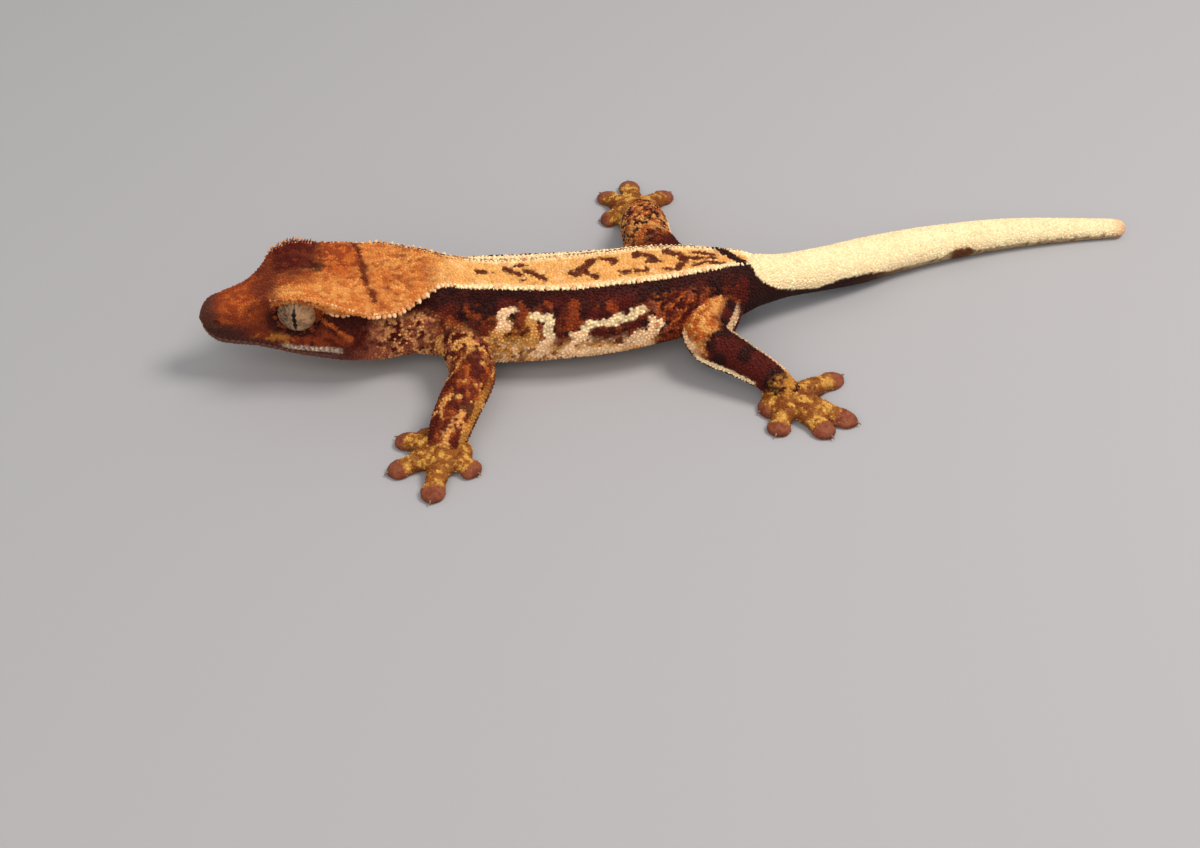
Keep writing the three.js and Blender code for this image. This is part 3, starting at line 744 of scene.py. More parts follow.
# Marks on the flank: lines of (station, distance below the crest), widths and colours
FLANK_MARKS = [
    ([(36.0, 1.8), (36.6, 2.9)], 0.6, RUST),
    ([(41.4, 1.8), (41.6, 3.1), (41.0, 4.4)], 0.8, RUST),
    ([(38.7, 1.7), (39.2, 2.0)], 0.5, RUST),
    ([(30.0, 2.8), (31.4, 3.5)], 0.8, RUST),
    ([(28.0, 3.9), (29.2, 4.4), (30.2, 5.8)], 1.1, RUST),
    ([(44.6, 2.3), (45.2, 3.0)], 0.7, RUST),
    ([(37.0, 3.9), (37.4, 5.2), (37.0, 6.7)], 1.1, TAN),
    ([(34.4, 4.3), (33.5, 5.2), (32.7, 6.1), (31.8, 6.9)], 1.4, TAN),
    ([(35.0, 2.8), (34.2, 3.5), (34.6, 4.3)], 1.25, PALE_CREAM),
    ([(33.9, 4.0), (33.4, 4.9)], 0.7, PALE_CREAM),
    ([(37.8, 3.4), (39.2, 3.6)], 0.75, CREAM),
    ([(39.1, 3.7), (38.8, 4.7), (39.4, 5.6)], 1.2, CREAM),
    ([(39.3, 5.8), (38.4, 6.8), (37.7, 8.2)], 1.35, PALE_CREAM),
    ([(42.1, 5.3), (42.6, 4.5), (44.0, 4.2), (45.2, 4.1), (46.7, 3.95), (48.1, 3.4)], 0.95, CREAM),
    ([(42.1, 5.5), (41.5, 6.6), (40.8, 8.0)], 1.2, PALE_CREAM),
    ([(41.6, 8.1), (43.7, 8.1), (45.5, 7.9), (47.2, 7.4), (48.6, 6.5), (49.5, 5.1)], 1.5, PALE_CREAM),
    ([(46.8, 6.6), (48.0, 5.6)], 0.6, PALE_CREAM),
    ([(30.6, 7.5), (31.4, 7.9)], 1.0, PALE_CREAM),
    ([(28.4, 8.2), (29.8, 8.4)], 1.2, PALE_CREAM),
]
FLANK_SHADES = [
    ([(42.8, 5.6), (43.7, 5.1), (45.6, 4.9), (46.7, 5.0)], 0.5),
    ([(43.9, 6.2), (45.6, 5.7)], 0.5),
    ([(35.6, 3.4), (35.9, 4.7), (36.1, 5.4)], 0.6),
    ([(40.2, 3.3), (40.2, 5.2), (39.9, 6.8)], 0.7),
]
# The tan streak and the rust one behind the eye
CHEEK_STREAKS = [([(13.7, 3.6), (15.1, 4.2), (16.7, 5.0)], 0.6), ([(14.0, 5.2), (15.8, 5.6)], 0.5)]
# How far below the crest's line the crown's tan reaches behind the eye, and the tail's cream
TAN_DROP = profile([(12.6, 0), (13.4, 1.7), (14.2, 2.5), (16.2, 2.3), (17.5, 1.3), (19.0, 0.3), (20.5, 0)])
TAIL_EDGE = profile([
    (61.0, 0.35), (62.0, 1.65), (64.0, 2.35), (67.7, 2.85), (70.6, 3.25), (72.4, 2.75), (74.5, 2.5),
    (77.3, 2.45), (79.7, 2.95), (83.0, 3.0), (88, 2.7), (90.2, 1.8), (92.0, 1.8), (93.4, 2.4),
    (100, 2.05), (106, 1.65), (112, 1.35),
])
# How far below the crest's line the back's cream reaches on the gecko's right side
FAR_CREAM = 1.7
LABIAL_PITCH = 0.56


def paint_flank(s, a, p, warp):
    x, y = jitter(s, a, warp, 0.8)
    grain = mottle(p, 0.8, 31)
    middle = smooth(3.2, 4.6, y) * band(s, 32.2, 33.6, 37.6, 38.6)
    low = smooth(5.6, 7.4, y) * band(s, 30.2, 31.8, 48.8, 50.4)
    base = lay(
        plain(p, MAROON),
        (DARK_MAROON, flecks(p, 1.6, 7, 0.4, 0.6)),
        # darker just under the crest: the flank's own dark maroon, deepened by painted shade under the crest
        (DARK_MAROON, smooth(1.9, 0.6, a) * 0.7),
        (RED_BROWN, flecks(p, 1.9, 41, 0.5, 0.66) * smooth(1.4, 3.2, a) * 0.9),
        (RUST, flecks(p, 1.0, 47, 0.55, 0.66) * smooth(1.2, 3.4, a) * smooth(60, 52, s) * 0.8),
        # golden brown between and under the pale marks
        (GOLDEN, middle * flecks(p, 0.9, 53, 0.4, 0.56) * 0.85),
        (TAN, low * flecks(p, 1.0, 55, 0.3, 0.46)),
        (PALE_CREAM, low * flecks(p, 0.6, 57, 0.48, 0.58) * 0.8),
        (BROWN, low * flecks(p, 0.6, 58, 0.54, 0.62) * 0.75),
    )
    worn = 0.6 + 0.4 * flecks(p, 0.45, 33, 0.36, 0.5)
    for line, width, tone in FLANK_MARKS:
        base = blend(base, tone, stroke(x, y, line, width * (0.95 + 2.6 * (grain - EVEN))) * worn)
    deep = flecks(p, 0.8, 59, 0.42, 0.56)
    for line, width in FLANK_SHADES:
        mask = stroke(x, y, line, width * (0.9 + 2.0 * (grain - EVEN)))
        base = lay(base, (BROWN, mask * 0.9), (MAROON, mask * deep))
    folds = np.sin((s * 0.8 - a * 0.75) * 3.6 + 7 * (warp[0] - 0.5))
    shoulder = smooth(31.8, 29.5, s) * smooth(3.4, 6.6, a)
    slant = np.sin((s * 1.15 + a * 1.2) * 3.1 + 9 * (warp[0] - 0.5) + 3 * (grain - 0.5))
    hind = band(s, 48.4, 50.0, 53.5, 57.0) * band(a, 1.3, 2.4, 5.2, 7.0)
    return lay(
        base,
        # tan flecks over the shoulder, between folds
        (PINK_BROWN, shoulder * flecks(p, 1.1, 63, 0.4, 0.6) * 0.7),
        (TAN, shoulder * smooth(0.46, 0.58, mottle(p, 0.6, 65) + 0.07 * folds)),
        # warm streaks before the thigh
        (ORANGE, hind * smooth(0.15, 0.9, slant) * flecks(p, 0.7, 67, 0.36, 0.52) * 0.85),
        (PINK_BROWN, hind * smooth(0.66, 0.76, noise(p, 0.35, 61)) * 0.8),
    )


def paint_back(s, a, across, p, warp):
    """The pale band between the crests."""
    back = lay(
        plain(p, BACK_TAN),
        (TAN, flecks(p, 1.0, 3, 0.44, 0.64) * 0.75),
        (PALE_CREAM, flecks(p, 0.6, 4, 0.56, 0.7) * 0.4),
        (CREAM, smooth(-0.95, -0.3, a) * smooth(28, 31, s) * 0.9),
    )
    x, y = jitter(s, across, warp, 0.8)
    grain = 2.8 * (mottle(p, 0.6, 5) - EVEN)
    for line, width in BACK_MARKS:
        wide, core = (stroke(x, y, line, width * (share + grain), 0.2) for share in (0.95, 0.65))
        back = lay(back, (BROWN, wide * 0.85), (MAROON, core * 0.8))
    return back


def paint_crown(s, mid, p, warp):
    """The head's top between the crests, and the muzzle's bridge."""
    fine, lumps = mottle(p, 0.6, 71), mottle(p, 1.9, 73)
    x, y = jitter(s, mid, warp, 1.3)
    middle = spot(x, y, (15.9, -3.0), (2.4, 5.0), 0.4)
    brow = spot(x, y, (11.4, -3.9), (2.9, 4.3), 0.3)
    front = smooth(9.8, 7.8, s)
    return lay(
        plain(p, CROWN_TAN),
        (ORANGE, smooth(0.47, 0.6, fine) * 0.6),
        (BACK_TAN, smooth(0.52, 0.42, fine) * smooth(0.42, 0.58, lumps) * 0.35),
        (ORANGE, middle * (0.8 + 0.8 * (lumps - 0.35))),
        (RUST, middle * smooth(0.42, 0.56, fine) * 0.9),
        # the dark patch over the right brow, and its edge down the middle
        (RUST, smooth(14.4, 12.8, x) * smooth(2.9, 1.6, y) * (0.75 + 0.6 * (fine - EVEN))),
        (MAROON, brow * (0.53 + lumps)),
        (RUST, brow * smooth(0.54, 0.64, fine) * 0.4),
        (DARK_MAROON, spot(x, y, (13.7, -0.6), (0.9, 0.8), 0.35) * 0.8),
        (RUST, stroke(x, y, CROWN_BAR, 1.1 + 1.4 * (fine - EVEN), 0.6) * 0.6),
        (MAROON, stroke(x, y, CROWN_BAR, 0.55 + 1.6 * (fine - EVEN), 0.35) * 0.8),
        *((RED_BROWN, spot(x, y, place, (0.4, 0.35), 0.5) * 0.7) for place in CROWN_SPOTS),
        (RUST, smooth(0.62, 0.7, noise(p, 0.5, 79)) * smooth(18, 21, s) * 0.55),
        # the forehead and the muzzle
        (RUST, front),
        (ORANGE, front * smooth(0.44, 0.6, fine) * smooth(2.0, 4.0, s) * 0.8),
        (MAROON, band(s, 6.0, 7.6, 8.8, 10.2) * lumps),
        (RED_BROWN, front * flecks(p, 1.2, 77, 0.5, 0.62) * 0.6),
        (MUZZLE_GREY, smooth(3.0, 1.2, s) * 0.85),
    )


def paint_face(s, a, v, p, warp):
    """The head's sides below the crest."""
    fine, lumps = mottle(p, 0.55, 83), mottle(p, 1.5, 87)
    above = smooth(1.9, 1.5, v) * band(s, 8.2, 9.4, 13.2, 14.4)
    below = band(v, 2.55, 2.8, 3.15, 3.35) * band(s, 4.5, 6.5, 13.5, 15.5)
    muzzle = smooth(8.4, 5.8, s) * smooth(2.6, 1.9, v)
    x, y = jitter(s, a, warp, 0.8)
    streaks = [
        stroke(x, y, line, width + 1.4 * (fine - EVEN), soft)
        for (line, width), soft in zip(CHEEK_STREAKS, (0.35, 0.4))
    ]
    folds = np.sin((s * 0.9 - a * 0.85) * 3.1 + 7 * (warp[0] - 0.5))
    nape = smooth(17.4, 20.0, s) * smooth(2.0, 2.7, v + 0.6 * (warp[1] - 0.5)) * smooth(4.4, 3.9, v)
    pale_nape = nape * smooth(0.48, 0.58, mottle(p, 0.42, 85) + 0.07 * folds) * smooth(18.0, 21.5, s)
    jaw = band(s, 15.5, 17.5, 19.5, 22) * smooth(2.9, 3.4, v)
    return lay(
        plain(p, MAROON),
        (RED_BROWN, smooth(0.42, 0.62, lumps)),
        (DARK_MAROON, smooth(2.9, 1.7, v) * smooth(13, 14.5, s) * 0.9),
        # orange and tan over the eye
        (ORANGE, above),
        (TAN, above * smooth(0.42, 0.58, fine) * 0.6),
        # rust and gold below and before the eye
        (RUST, below * smooth(0.38, 0.52, fine) * 0.9),
        (GOLDEN, below * smooth(0.52, 0.62, fine) * smooth(12.5, 9.5, s) * 0.7),
        (RUST, muzzle),
        (ORANGE, muzzle * smooth(0.46, 0.6, fine) * smooth(2.2, 3.6, s) * 0.8),
        (RED_BROWN, muzzle * flecks(p, 1.2, 77, 0.5, 0.62) * 0.6),
        (DARK_MAROON, spot(s, v, (8.4, 2.15), (0.9, 0.5), 0.6) * 0.75),
        (MUZZLE_GREY, smooth(6.5, 2.2, s) * smooth(1.9, 2.7, v) * 0.8),
        (MUZZLE_GREY, smooth(3.0, 1.2, s) * 0.85),
        (DARK_LIP, smooth(6.8, 3.0, s) * band(v, 2.5, 2.9, 3.2, 3.45) * 0.7),
        (ORANGE, streaks[0] * 0.9),
        (RUST, streaks[1] * 0.7),
        # pink and tan flecks on the cheek's rear and the side of the neck
        (PINK_BROWN, nape * smooth(0.4, 0.56, lumps) * 0.6),
        (PINK_BROWN, nape * smooth(0.54, 0.62, fine) * 0.8),
        (PEACH, pale_nape * 0.85),
        (PINK_BROWN, jaw * (0.3 + 0.9 * (lumps - 0.3))),
    )


def paint_lips(face, s, v):
    lip = band(v, 2.95, 3.2, 3.6, 3.9) * smooth(18.0, 15.0, s)
    pale = band(s, 8.4, 10.0, 15.2, 16.2) * band(v, 3.02, 3.14, 3.38, 3.46)
    plates = smooth(-0.5, 0.5, np.sin(s * 2 * math.pi / LABIAL_PITCH))
    chin = smooth(3.48, 3.6, v) * smooth(17.0, 14.0, s)
    return lay(face, (LIP, lip * 0.75), (LABIAL_WHITE, pale * (0.35 + 0.6 * plates)), (CHIN, chin * 0.8))


def paint_tail(s, a, p, warp):
    fine = mottle(p, 0.5, 91)
    past = a - TAIL_EDGE(s) - 0.6 * (warp[1] - 0.5) - 0.5 * (fine - EVEN)
    tail = lay(
        plain(p, TAIL_CREAM),
        (CREAM, flecks(p, 2.4, 93, 0.4, 0.6)),
        (TAN, smooth(0.6, 0.72, fine) * 0.2),
    )
    under = lay(plain(p, DARK_MAROON), (TAIL_SHADE, smooth(74, 84, s)))
    share = 1 - smooth(78, 86, s) * 0.35 * (1 - spot(s, a, (91.2, 2.6), (1.6, 1.6), 0.2))
    specks = smooth(-0.9, 0.2, past) * flecks(p, 0.45, 95, 0.54, 0.62) * smooth(78, 84, s)
    return lay(
        tail,
        (under, smooth(-0.12, 0.12, past) * share),
        (TAIL_SPECK, specks * 0.75),
        (TAIL_END, smooth(110.8, 112.8, s) * 0.6),
    )


def paint_body(p, tags):
    s, a, v, mid, side = tags.T
    across = 3 * np.clip(v, 0, 1.5) * side
    warp = (mottle(p, 0.9, 11), mottle(p, 0.9, 23))
    wave = 1.6 * (warp[0] - 0.5)
    top = blend(paint_crown(s, mid, p, warp), paint_back(s, a, across, p, warp), smooth(24.5, 28.5, s + wave))
    far = np.where(side < 0, FAR_CREAM, 0.0) * smooth(26, 29, s)
    patch = stroke(s + 0.7 * (warp[0] - 0.5), across, SADDLE, 1.5 + 1.2 * (mottle(p, 0.7, 69) - 0.5))
    start = s - 60.9 + (warp[0] - 0.5) + 0.35 * np.clip(a, -3, 2)
    return lay(
        paint_lips(paint_face(s, a, v, p, warp), s, v),
        (paint_flank(s, a, p, warp), smooth(25.8, 27.4, s + wave)),
        (BELLY, smooth(3.9, 4.25, v + 0.2 * (warp[1] - 0.5)) * 0.9),
        # the crest's line parts top from side; over the eye and on the muzzle it fades out
        (top, smooth(0.12, -0.02, a - TAN_DROP(s) - far)),
        (top, smooth(1.9, 1.1, v) * smooth(8.6, 7.0, s)),
        (DARK_MAROON, patch * smooth(3.0, 1.5, a)),
        (paint_tail(s, a, p, warp), smooth(-0.15, 0.15, start)),
    )


def turn_band(turn, centre, width):
    """A strip along a limb: a direction round it, in degrees, and half its width."""
    gap = np.abs((turn - np.radians(centre) + math.pi) % (2 * math.pi) - math.pi)
    return smooth(math.radians(width * 1.25), math.radians(width * 0.75), gap)


def paint_arm(share, turn, p):
    fine = mottle(p, 0.6, 101)
    arm = lay(
        plain(p, ARM_BROWN),
        (ORANGE, smooth(0.5, 0.64, fine) * 0.6),
        (TAN, flecks(p, 1.3, 107, 0.53, 0.6) * 0.85),
        (MAROON, flecks(p, 1.5, 109, 0.46, 0.54) * 0.9),
        (GOLDEN, turn_band(turn, -78, 14) * smooth(0.4, 0.55, share) * 0.8),
    )
    # the upper arm keeps the shoulder's flecks
    return lay(
        plain(p, MAROON),
        (TAN, flecks(p, 0.6, 65, 0.46, 0.58)),
        (PINK_BROWN, flecks(p, 1.1, 63, 0.5, 0.62) * 0.7),
        (arm, smooth(0.3, 0.42, share + 0.12 * (fine - EVEN))),
    )


def paint_left_thigh(share, turn, p):
    fine, lumps = mottle(p, 0.6, 111), mottle(p, 1.4, 113)
    ragged = share + 0.1 * (lumps - EVEN)
    patch = turn_band(turn, 36, 58) * band(ragged, 0.13, 0.18, 0.42, 0.47)
    rear = np.interp(share, [0, 0.3, 0.5, 1], [-72, -72, -44, -38])
    edge = turn_band(turn - np.radians(rear), 0, 13) * band(share, 0.1, 0.18, 0.86, 0.92)
    return lay(
        plain(p, MAROON),
        (DARK_MAROON, smooth(0.4, 0.6, lumps)),
        (ORANGE, turn_band(turn, -30, 34) * smooth(0.16, 0.08, share) * smooth(0.42, 0.56, fine) * 0.8),
        (ORANGE, patch * 0.9),
        (TAN, patch * smooth(0.42, 0.56, fine)),
        (BROWN, patch * smooth(0.56, 0.66, lumps) * 0.6),
        # pale edges along the thigh's front, top and rear, and a row down the shin
        (PALE_CREAM, turn_band(turn, 20, 17) * band(ragged, 0.08, 0.12, 0.15, 0.19)),
        (PALE_CREAM, turn_band(turn, 88, 14) * band(share, 0.16, 0.24, 0.4, 0.46) * 0.85),
        (PALE_CREAM, edge * (0.55 + 0.8 * (fine - 0.4))),
        (CREAM, turn_band(turn, 113, 13) * band(share, 0.4, 0.44, 0.72, 0.76)),
        (GOLDEN, smooth(0.83, 0.9, share + 0.16 * (fine - EVEN)) * flecks(p, 0.8, 117, 0.36, 0.5)),
    )


def paint_right_thigh(share, turn, p):
    fine = mottle(p, 0.45, 119)
    return lay(
        plain(p, MAROON),
        (DARK_MAROON, flecks(p, 1.4, 121, 0.42, 0.6)),
        (ORANGE, flecks(p, 1.1, 125, 0.46, 0.6) * smooth(0.3, 0.42, share) * 0.8),
        (TAN, smooth(0.48, 0.6, fine) * band(share, 0.34, 0.44, 0.7, 0.86) * 0.8),
        (PALE_CREAM, turn_band(turn, 82, 17) * band(share, 0.3, 0.4, 0.9, 0.97) * 0.9),
        (GOLDEN, smooth(0.82, 0.92, share + 0.2 * (fine - EVEN)) * 0.8),
    )


def paint_legs(p, tags):
    share, cos, sin, _, leg = tags.T
    turn, leg = np.arctan2(sin, cos), np.rint(leg)[:, None]
    out = paint_arm(share, turn, p)
    out = np.where(leg == HIND_LEFT, paint_left_thigh(share, turn, p), out)
    return np.where(leg == HIND_RIGHT, paint_right_thigh(share, turn, p), out)


def paint_feet(p, tags):
    share, upward = tags[:, 0], tags[:, 1]
    fine, lumps = mottle(p, 0.5, 131), mottle(p, 1.0, 133)
    pad = smooth(0.56, 0.66, share + 0.2 * (lumps - EVEN))
    return lay(
        plain(p, FOOT_BROWN),
        (FOOT_GOLD, smooth(0.45, 0.58, fine)),
        (PALM_BROWN, smooth(0.46, 0.56, lumps) * smooth(0.6, 0.3, share) * 0.85),
        # painted shade on the toes' sides and undersides, darker the more they face down
        (TOE_UNDERSIDE_SHADE, smooth(0.5, 0.1, upward) * smooth(0.2, 0.4, share) * 0.75),
        (PAD, pad),
        (RED_BROWN, pad * smooth(0.42, 0.6, fine) * 0.6),
        (PAD_END, pad * smooth(0.82, 0.98, share + 0.1 * (lumps - EVEN)) * 0.6),
        (SOLE, smooth(0.16, 0.04, p[:, 2]) * 0.7),
    )


def paint(p, part, tags):
    """The colour at each point, as linear light."""
    out = np.zeros((len(p), 3))
    for on_kind, painter in ((on_body, paint_body), (on_leg, paint_legs), (on_foot, paint_feet)):
        here = on_kind(part)
        out[here] = painter(p[here], tags[here])
    rim = part == RIM
    brow = np.where(tags[rim, 4:] > 0, colour(TAN), colour(MAROON))
    out[rim] = lay(
        plain(p[rim], DARK_MAROON),
        (RUST, flecks(p[rim], 0.5, 137, 0.5, 0.64) * 0.8),
        (brow, smooth(1.75, 2.15, p[rim, 2] - eye_place(1)[0][2])),
    )
    return np.clip(out, 0.0, 1.0)


def layout(part, tags):
    """Where each place lies on a flat layout of the skin, for the small pieces that grow on it."""
    s, _, _, mid, side = tags.T
    body_place = np.stack([
        0.02 + 0.96 * s / TOTAL_LENGTH,
        0.31 + 0.28 * side * np.clip(np.abs(mid) / 21.0, 0, 1),
    ], -1)
    share, cos, sin, toe, leg = tags.T
    turn = np.arctan2(sin, cos) / (2 * math.pi) + 0.5
    leg_place = np.stack([
        0.02 + 0.24 * leg + 0.21 * share,
        np.where(on_foot(part), 0.82 + 0.028 * toe + 0.024 * turn, 0.63 + 0.17 * turn),
    ], -1)
    return np.where(on_body(part)[:, None], body_place, leg_place)


# Scales, small domes set close together all over the skin
SCALE_DRAWS = 380000
BODY_SCALE = 0.32
NAPE_SCALE = 0.3
HEAD_SCALE = 0.27
MUZZLE_SCALE = 0.23
RIM_SCALE = 0.22
LEG_SCALE = 0.3
FOOT_SCALE = 0.27
TAIL_SCALE = 0.27
TAIL_END_SCALE = 0.25
BARE_PAD = 0.66  # the share of a toe past which it has no scales
SOLE_HEIGHT = 0.12
MIDDLE_STATION = 40
LARGEST_PIECE = 190000  # faces
SCALE_STRETCH = 1.06


def scale_sizes(part, tags):
    """The distance between scales, and how far they stand up, at each place; a size of 0 is bare skin."""
    s = np.where(part == BODY, tags[:, 0], MIDDLE_STATION)
    size = np.interp(s, [0, 3, 8, 16, 25, 32, 60, 66, 113], [
        MUZZLE_SCALE, MUZZLE_SCALE, HEAD_SCALE, HEAD_SCALE, NAPE_SCALE, BODY_SCALE, BODY_SCALE, TAIL_SCALE,
        TAIL_END_SCALE,
    ])
    rise = np.interp(s, [0, 8, 25, 58, 68, 113], [0.3, 0.42, 0.48, 0.46, 0.16, 0.14])
    legs, feet = on_leg(part), on_foot(part)
    size = np.where(legs, LEG_SCALE, np.where(feet, FOOT_SCALE - 0.05 * tags[:, 0], size))
    size = np.where(feet & (tags[:, 0] > BARE_PAD), 0, size)
    rise = np.where(legs, 0.45, np.where(feet, 0.3, rise))
    return np.where(part == RIM, RIM_SCALE, size), rise


def bare(p):
    """Places with no scales: under the eyes, in the mouth line, the nostrils, the ears and on the soles."""
    out = p[:, 2] < SOLE_HEIGHT
    for side in (1, -1):
        nostril = body_point(NOSTRIL_STATION, NOSTRIL_PLACE, side)[0]
        ear = body_point(EAR_STATION, EAR_PLACE, side)[0]
        out |= np.linalg.norm(p - eye_place(side)[0], axis=1) < EYE_RADIUS + 0.16
        out |= np.linalg.norm(p - nostril, axis=1) < 0.36
        out |= np.linalg.norm((p - ear) / EAR_SIZE, axis=1) < 0.85
    head = p[:, 0] < HEAD_END
    out[head] |= near(p[head], mouth_line()) < 0.3
    return out


def draw_on(skin, count, seed):
    """Random places spread evenly over the skin, with its normal there."""
    rng = np.random.default_rng(seed)
    mesh = skin.data
    points, normals = read_mesh(mesh)
    mesh.calc_loop_triangles()
    tri = np.empty(len(mesh.loop_triangles) * 3, np.int32)
    mesh.loop_triangles.foreach_get("vertices", tri)
    tri = tri.reshape(-1, 3)
    a, b, c = (points[tri[:, i]] for i in range(3))
    area = np.linalg.norm(np.cross(b - a, c - a), axis=1)
    pick = rng.choice(len(tri), count, p=area / area.sum())
    u, w = rng.random((2, count))
    over = u + w > 1
    u, w = np.where(over, 1 - u, u)[:, None], np.where(over, 1 - w, w)[:, None]
    shares = (1 - u - w, u, w)
    place = sum(k * points[tri[pick, i]] for i, k in enumerate(shares))
    normal = unit(sum(k * normals[tri[pick, i]] for i, k in enumerate(shares)))
    return place, normal


def thin_out(places, size):
    """Keeps places no closer together than their size."""
    tree = tree_of(places)
    free = size > 0
    kept = []
    for i in range(len(places)):
        if free[i]:
            kept.append(i)
            for _, j, _ in tree.find_range(places[i], size[i]):
                free[j] = False
    return np.array(kept)


def lie_along(normal, part, tags):
    """A direction in the skin at each place, tailwards on the body and any steady way elsewhere."""
    body = on_body(part)
    _, along, _, _ = spine_frame(np.where(body, tags[:, 0], MIDDLE_STATION))
    along = np.where(body[:, None], along, (0.6, -0.8, 0.05))
    first = unit(along - normal * (along * normal).sum(1, keepdims=True))
    return first, np.cross(normal, first)


# Outlines of the small pieces: rings of (share of the radius, share of the height), each ended by a tip
SIDES = 6
DOME = [(1.0, -0.35), (0.86, 0.35), (0.5, 0.86)]
DOME_TWIST = math.pi / SIDES
SPIKE = [(1.0, 0.0), (0.8, 0.35), (0.45, 0.72)]
RINGS = 3
POINTS_EACH = RINGS * SIDES + 1
FACES_EACH = (2 * RINGS - 1) * SIDES


def small_pieces(outline, twist, place, axis, first, second, radius, height, stretch=1.0):
    """Joined meshes of one outline at each place, as (points, faces); stretch makes it long along first."""
    turn = 2 * math.pi * np.arange(SIDES) / SIDES
    rings = []
    for k, (out, up) in enumerate(outline):
        x = (np.cos(turn + k * twist) * out)[None, :, None] * (radius * stretch)[:, None, None]
        y = (np.sin(turn + k * twist) * out)[None, :, None] * (radius / stretch)[:, None, None]
        base = (place + axis * (height * up)[:, None])[:, None]
        rings.append(base + first[:, None] * x + second[:, None] * y)
    tip = (place + axis * height[:, None])[:, None]
    points = np.concatenate(rings + [tip], 1)
    faces = []
    for k, j in itertools.product(range(RINGS - 1), range(SIDES)):
        a, b = k * SIDES + j, k * SIDES + (j + 1) % SIDES
        faces += [(a, b, a + SIDES), (b, b + SIDES, a + SIDES)]
    last = (RINGS - 1) * SIDES
    faces += [(last + j, last + (j + 1) % SIDES, POINTS_EACH - 1) for j in range(SIDES)]
    faces = np.array(faces)[None] + (np.arange(len(place)) * POINTS_EACH)[:, None, None]
    return points.reshape(-1, 3), faces.reshape(-1, 3)


def coat_piece(name, points, faces, tint, roots):
    """A mesh of small pieces, with a colour at each point and each one's patch on the skin's layout."""
    mesh = mesh_from(name, points, faces)
    set_colours(mesh, tint)
    patch = mesh.uv_layers.new(name="OFBake")
    turn = np.arange(len(points)) * 2.4
    spread = np.stack([np.cos(turn), np.sin(turn)], -1) * 0.0015
    flat = np.repeat(roots, POINTS_EACH, axis=0) + spread
    patch.data.foreach_set("uv", flat[faces.ravel()].astype(np.float32).ravel())
    mesh.shade_smooth()
    return add_object(name, mesh)


def set_colours(mesh, tint):
    layer = mesh.color_attributes.new("paint", "FLOAT_COLOR", "POINT")
    opaque = np.concatenate([tint, np.ones((len(tint), 1))], 1)
    layer.data.foreach_set("color", opaque.astype(np.float32).ravel())


def make_scales(skin, shell):
    place, normal = draw_on(skin, SCALE_DRAWS, 11)
    part, tags = locate(place, shell)
    size, rise = scale_sizes(part, tags)
    size[bare(place)] = 0
    kept = thin_out(place, size)
    place, normal, part, tags, size, rise = (x[kept] for x in (place, normal, part, tags, size, rise))
    rng = np.random.default_rng(29)
    tint = paint(place, part, tags) * rng.normal(1.0, 0.12, (len(place), 1)).clip(0.65, 1.35)
    first, second = lie_along(normal, part, tags)
    radius = size * 0.56 * rng.normal(1, 0.1, len(place)).clip(0.75, 1.3)
    height = size * rise * rng.normal(1, 0.18, len(place)).clip(0.6, 1.5)
    roots = layout(part, tags)
    count = math.ceil(len(place) * FACES_EACH / LARGEST_PIECE)
    pieces = []
    for k, batch in enumerate(np.array_split(np.argsort(place[:, 0]), count)):
        grown = (x[batch] for x in (place, normal, first, second, radius, height))
        points, faces = small_pieces(DOME, DOME_TWIST, *grown, SCALE_STRETCH)
        shades = np.repeat(tint[batch], POINTS_EACH, 0)
        pieces.append(coat_piece(f"scales_{k + 1}", points, faces, shades, roots[batch]))
    return pieces


# Rows of the crest: (from station, to station, spacing, radius, length, lean down, place on the section)
CREST_ROWS = [
    (8.6, 13.4, 0.3, 0.13, 0.42, -0.1, 1.0),
    (9.4, 13.8, 0.34, 0.12, 0.34, -0.3, 0.9),
    (14.4, 27.0, 0.56, 0.27, 0.56, 0.35, 1.0),
    (27.0, 56.0, 0.56, 0.27, 0.5, 0.45, 1.0),
    (56.0, 61.4, 0.5, 0.18, 0.36, 0.45, 1.0),
    (14.0, 27.0, 0.46, 0.19, 0.3, 0.1, 0.94),
    (27.0, 60.0, 0.46, 0.2, 0.28, 0.1, 0.92),
    (18.0, 27.0, 0.52, 0.2, 0.32, 0.7, 1.08),
    (27.0, 58.0, 0.5, 0.17, 0.26, 0.7, 1.07),
]
# How many section places lower the fringe sits behind the eye
TAN_DROP_PLACE = profile([(13.6, 0), (14.4, 0.8), (16.2, 0.95), (17.5, 0.6), (19.0, 0.1), (20.5, 0)])
# The fringe's darker tint, its paler one and the share of darker points: on back, nape and brows
FRINGE_TINTS = [
    ((232, 178, 130), (252, 228, 176), 0.3),
    ((214, 146, 96), (240, 196, 148), 0.5),
    ((144, 66, 30), (206, 136, 76), 0.5),
]
FRINGE_ROOT_SHADE = (0.72, 0.6, 0.5)


def joined(rows):
    """Rows of several arrays, joined into one long array of each."""
    return [np.concatenate(column) for column in zip(*rows)]


def fringe_tint(s, pick):
    tints = [np.where(pick < share, colour(dark), colour(pale)) for dark, pale, share in FRINGE_TINTS]
    back, nape, brow = tints
    return blend(blend(back, nape, smooth(29, 24, s)), brow, smooth(15.5, 13.5, s))


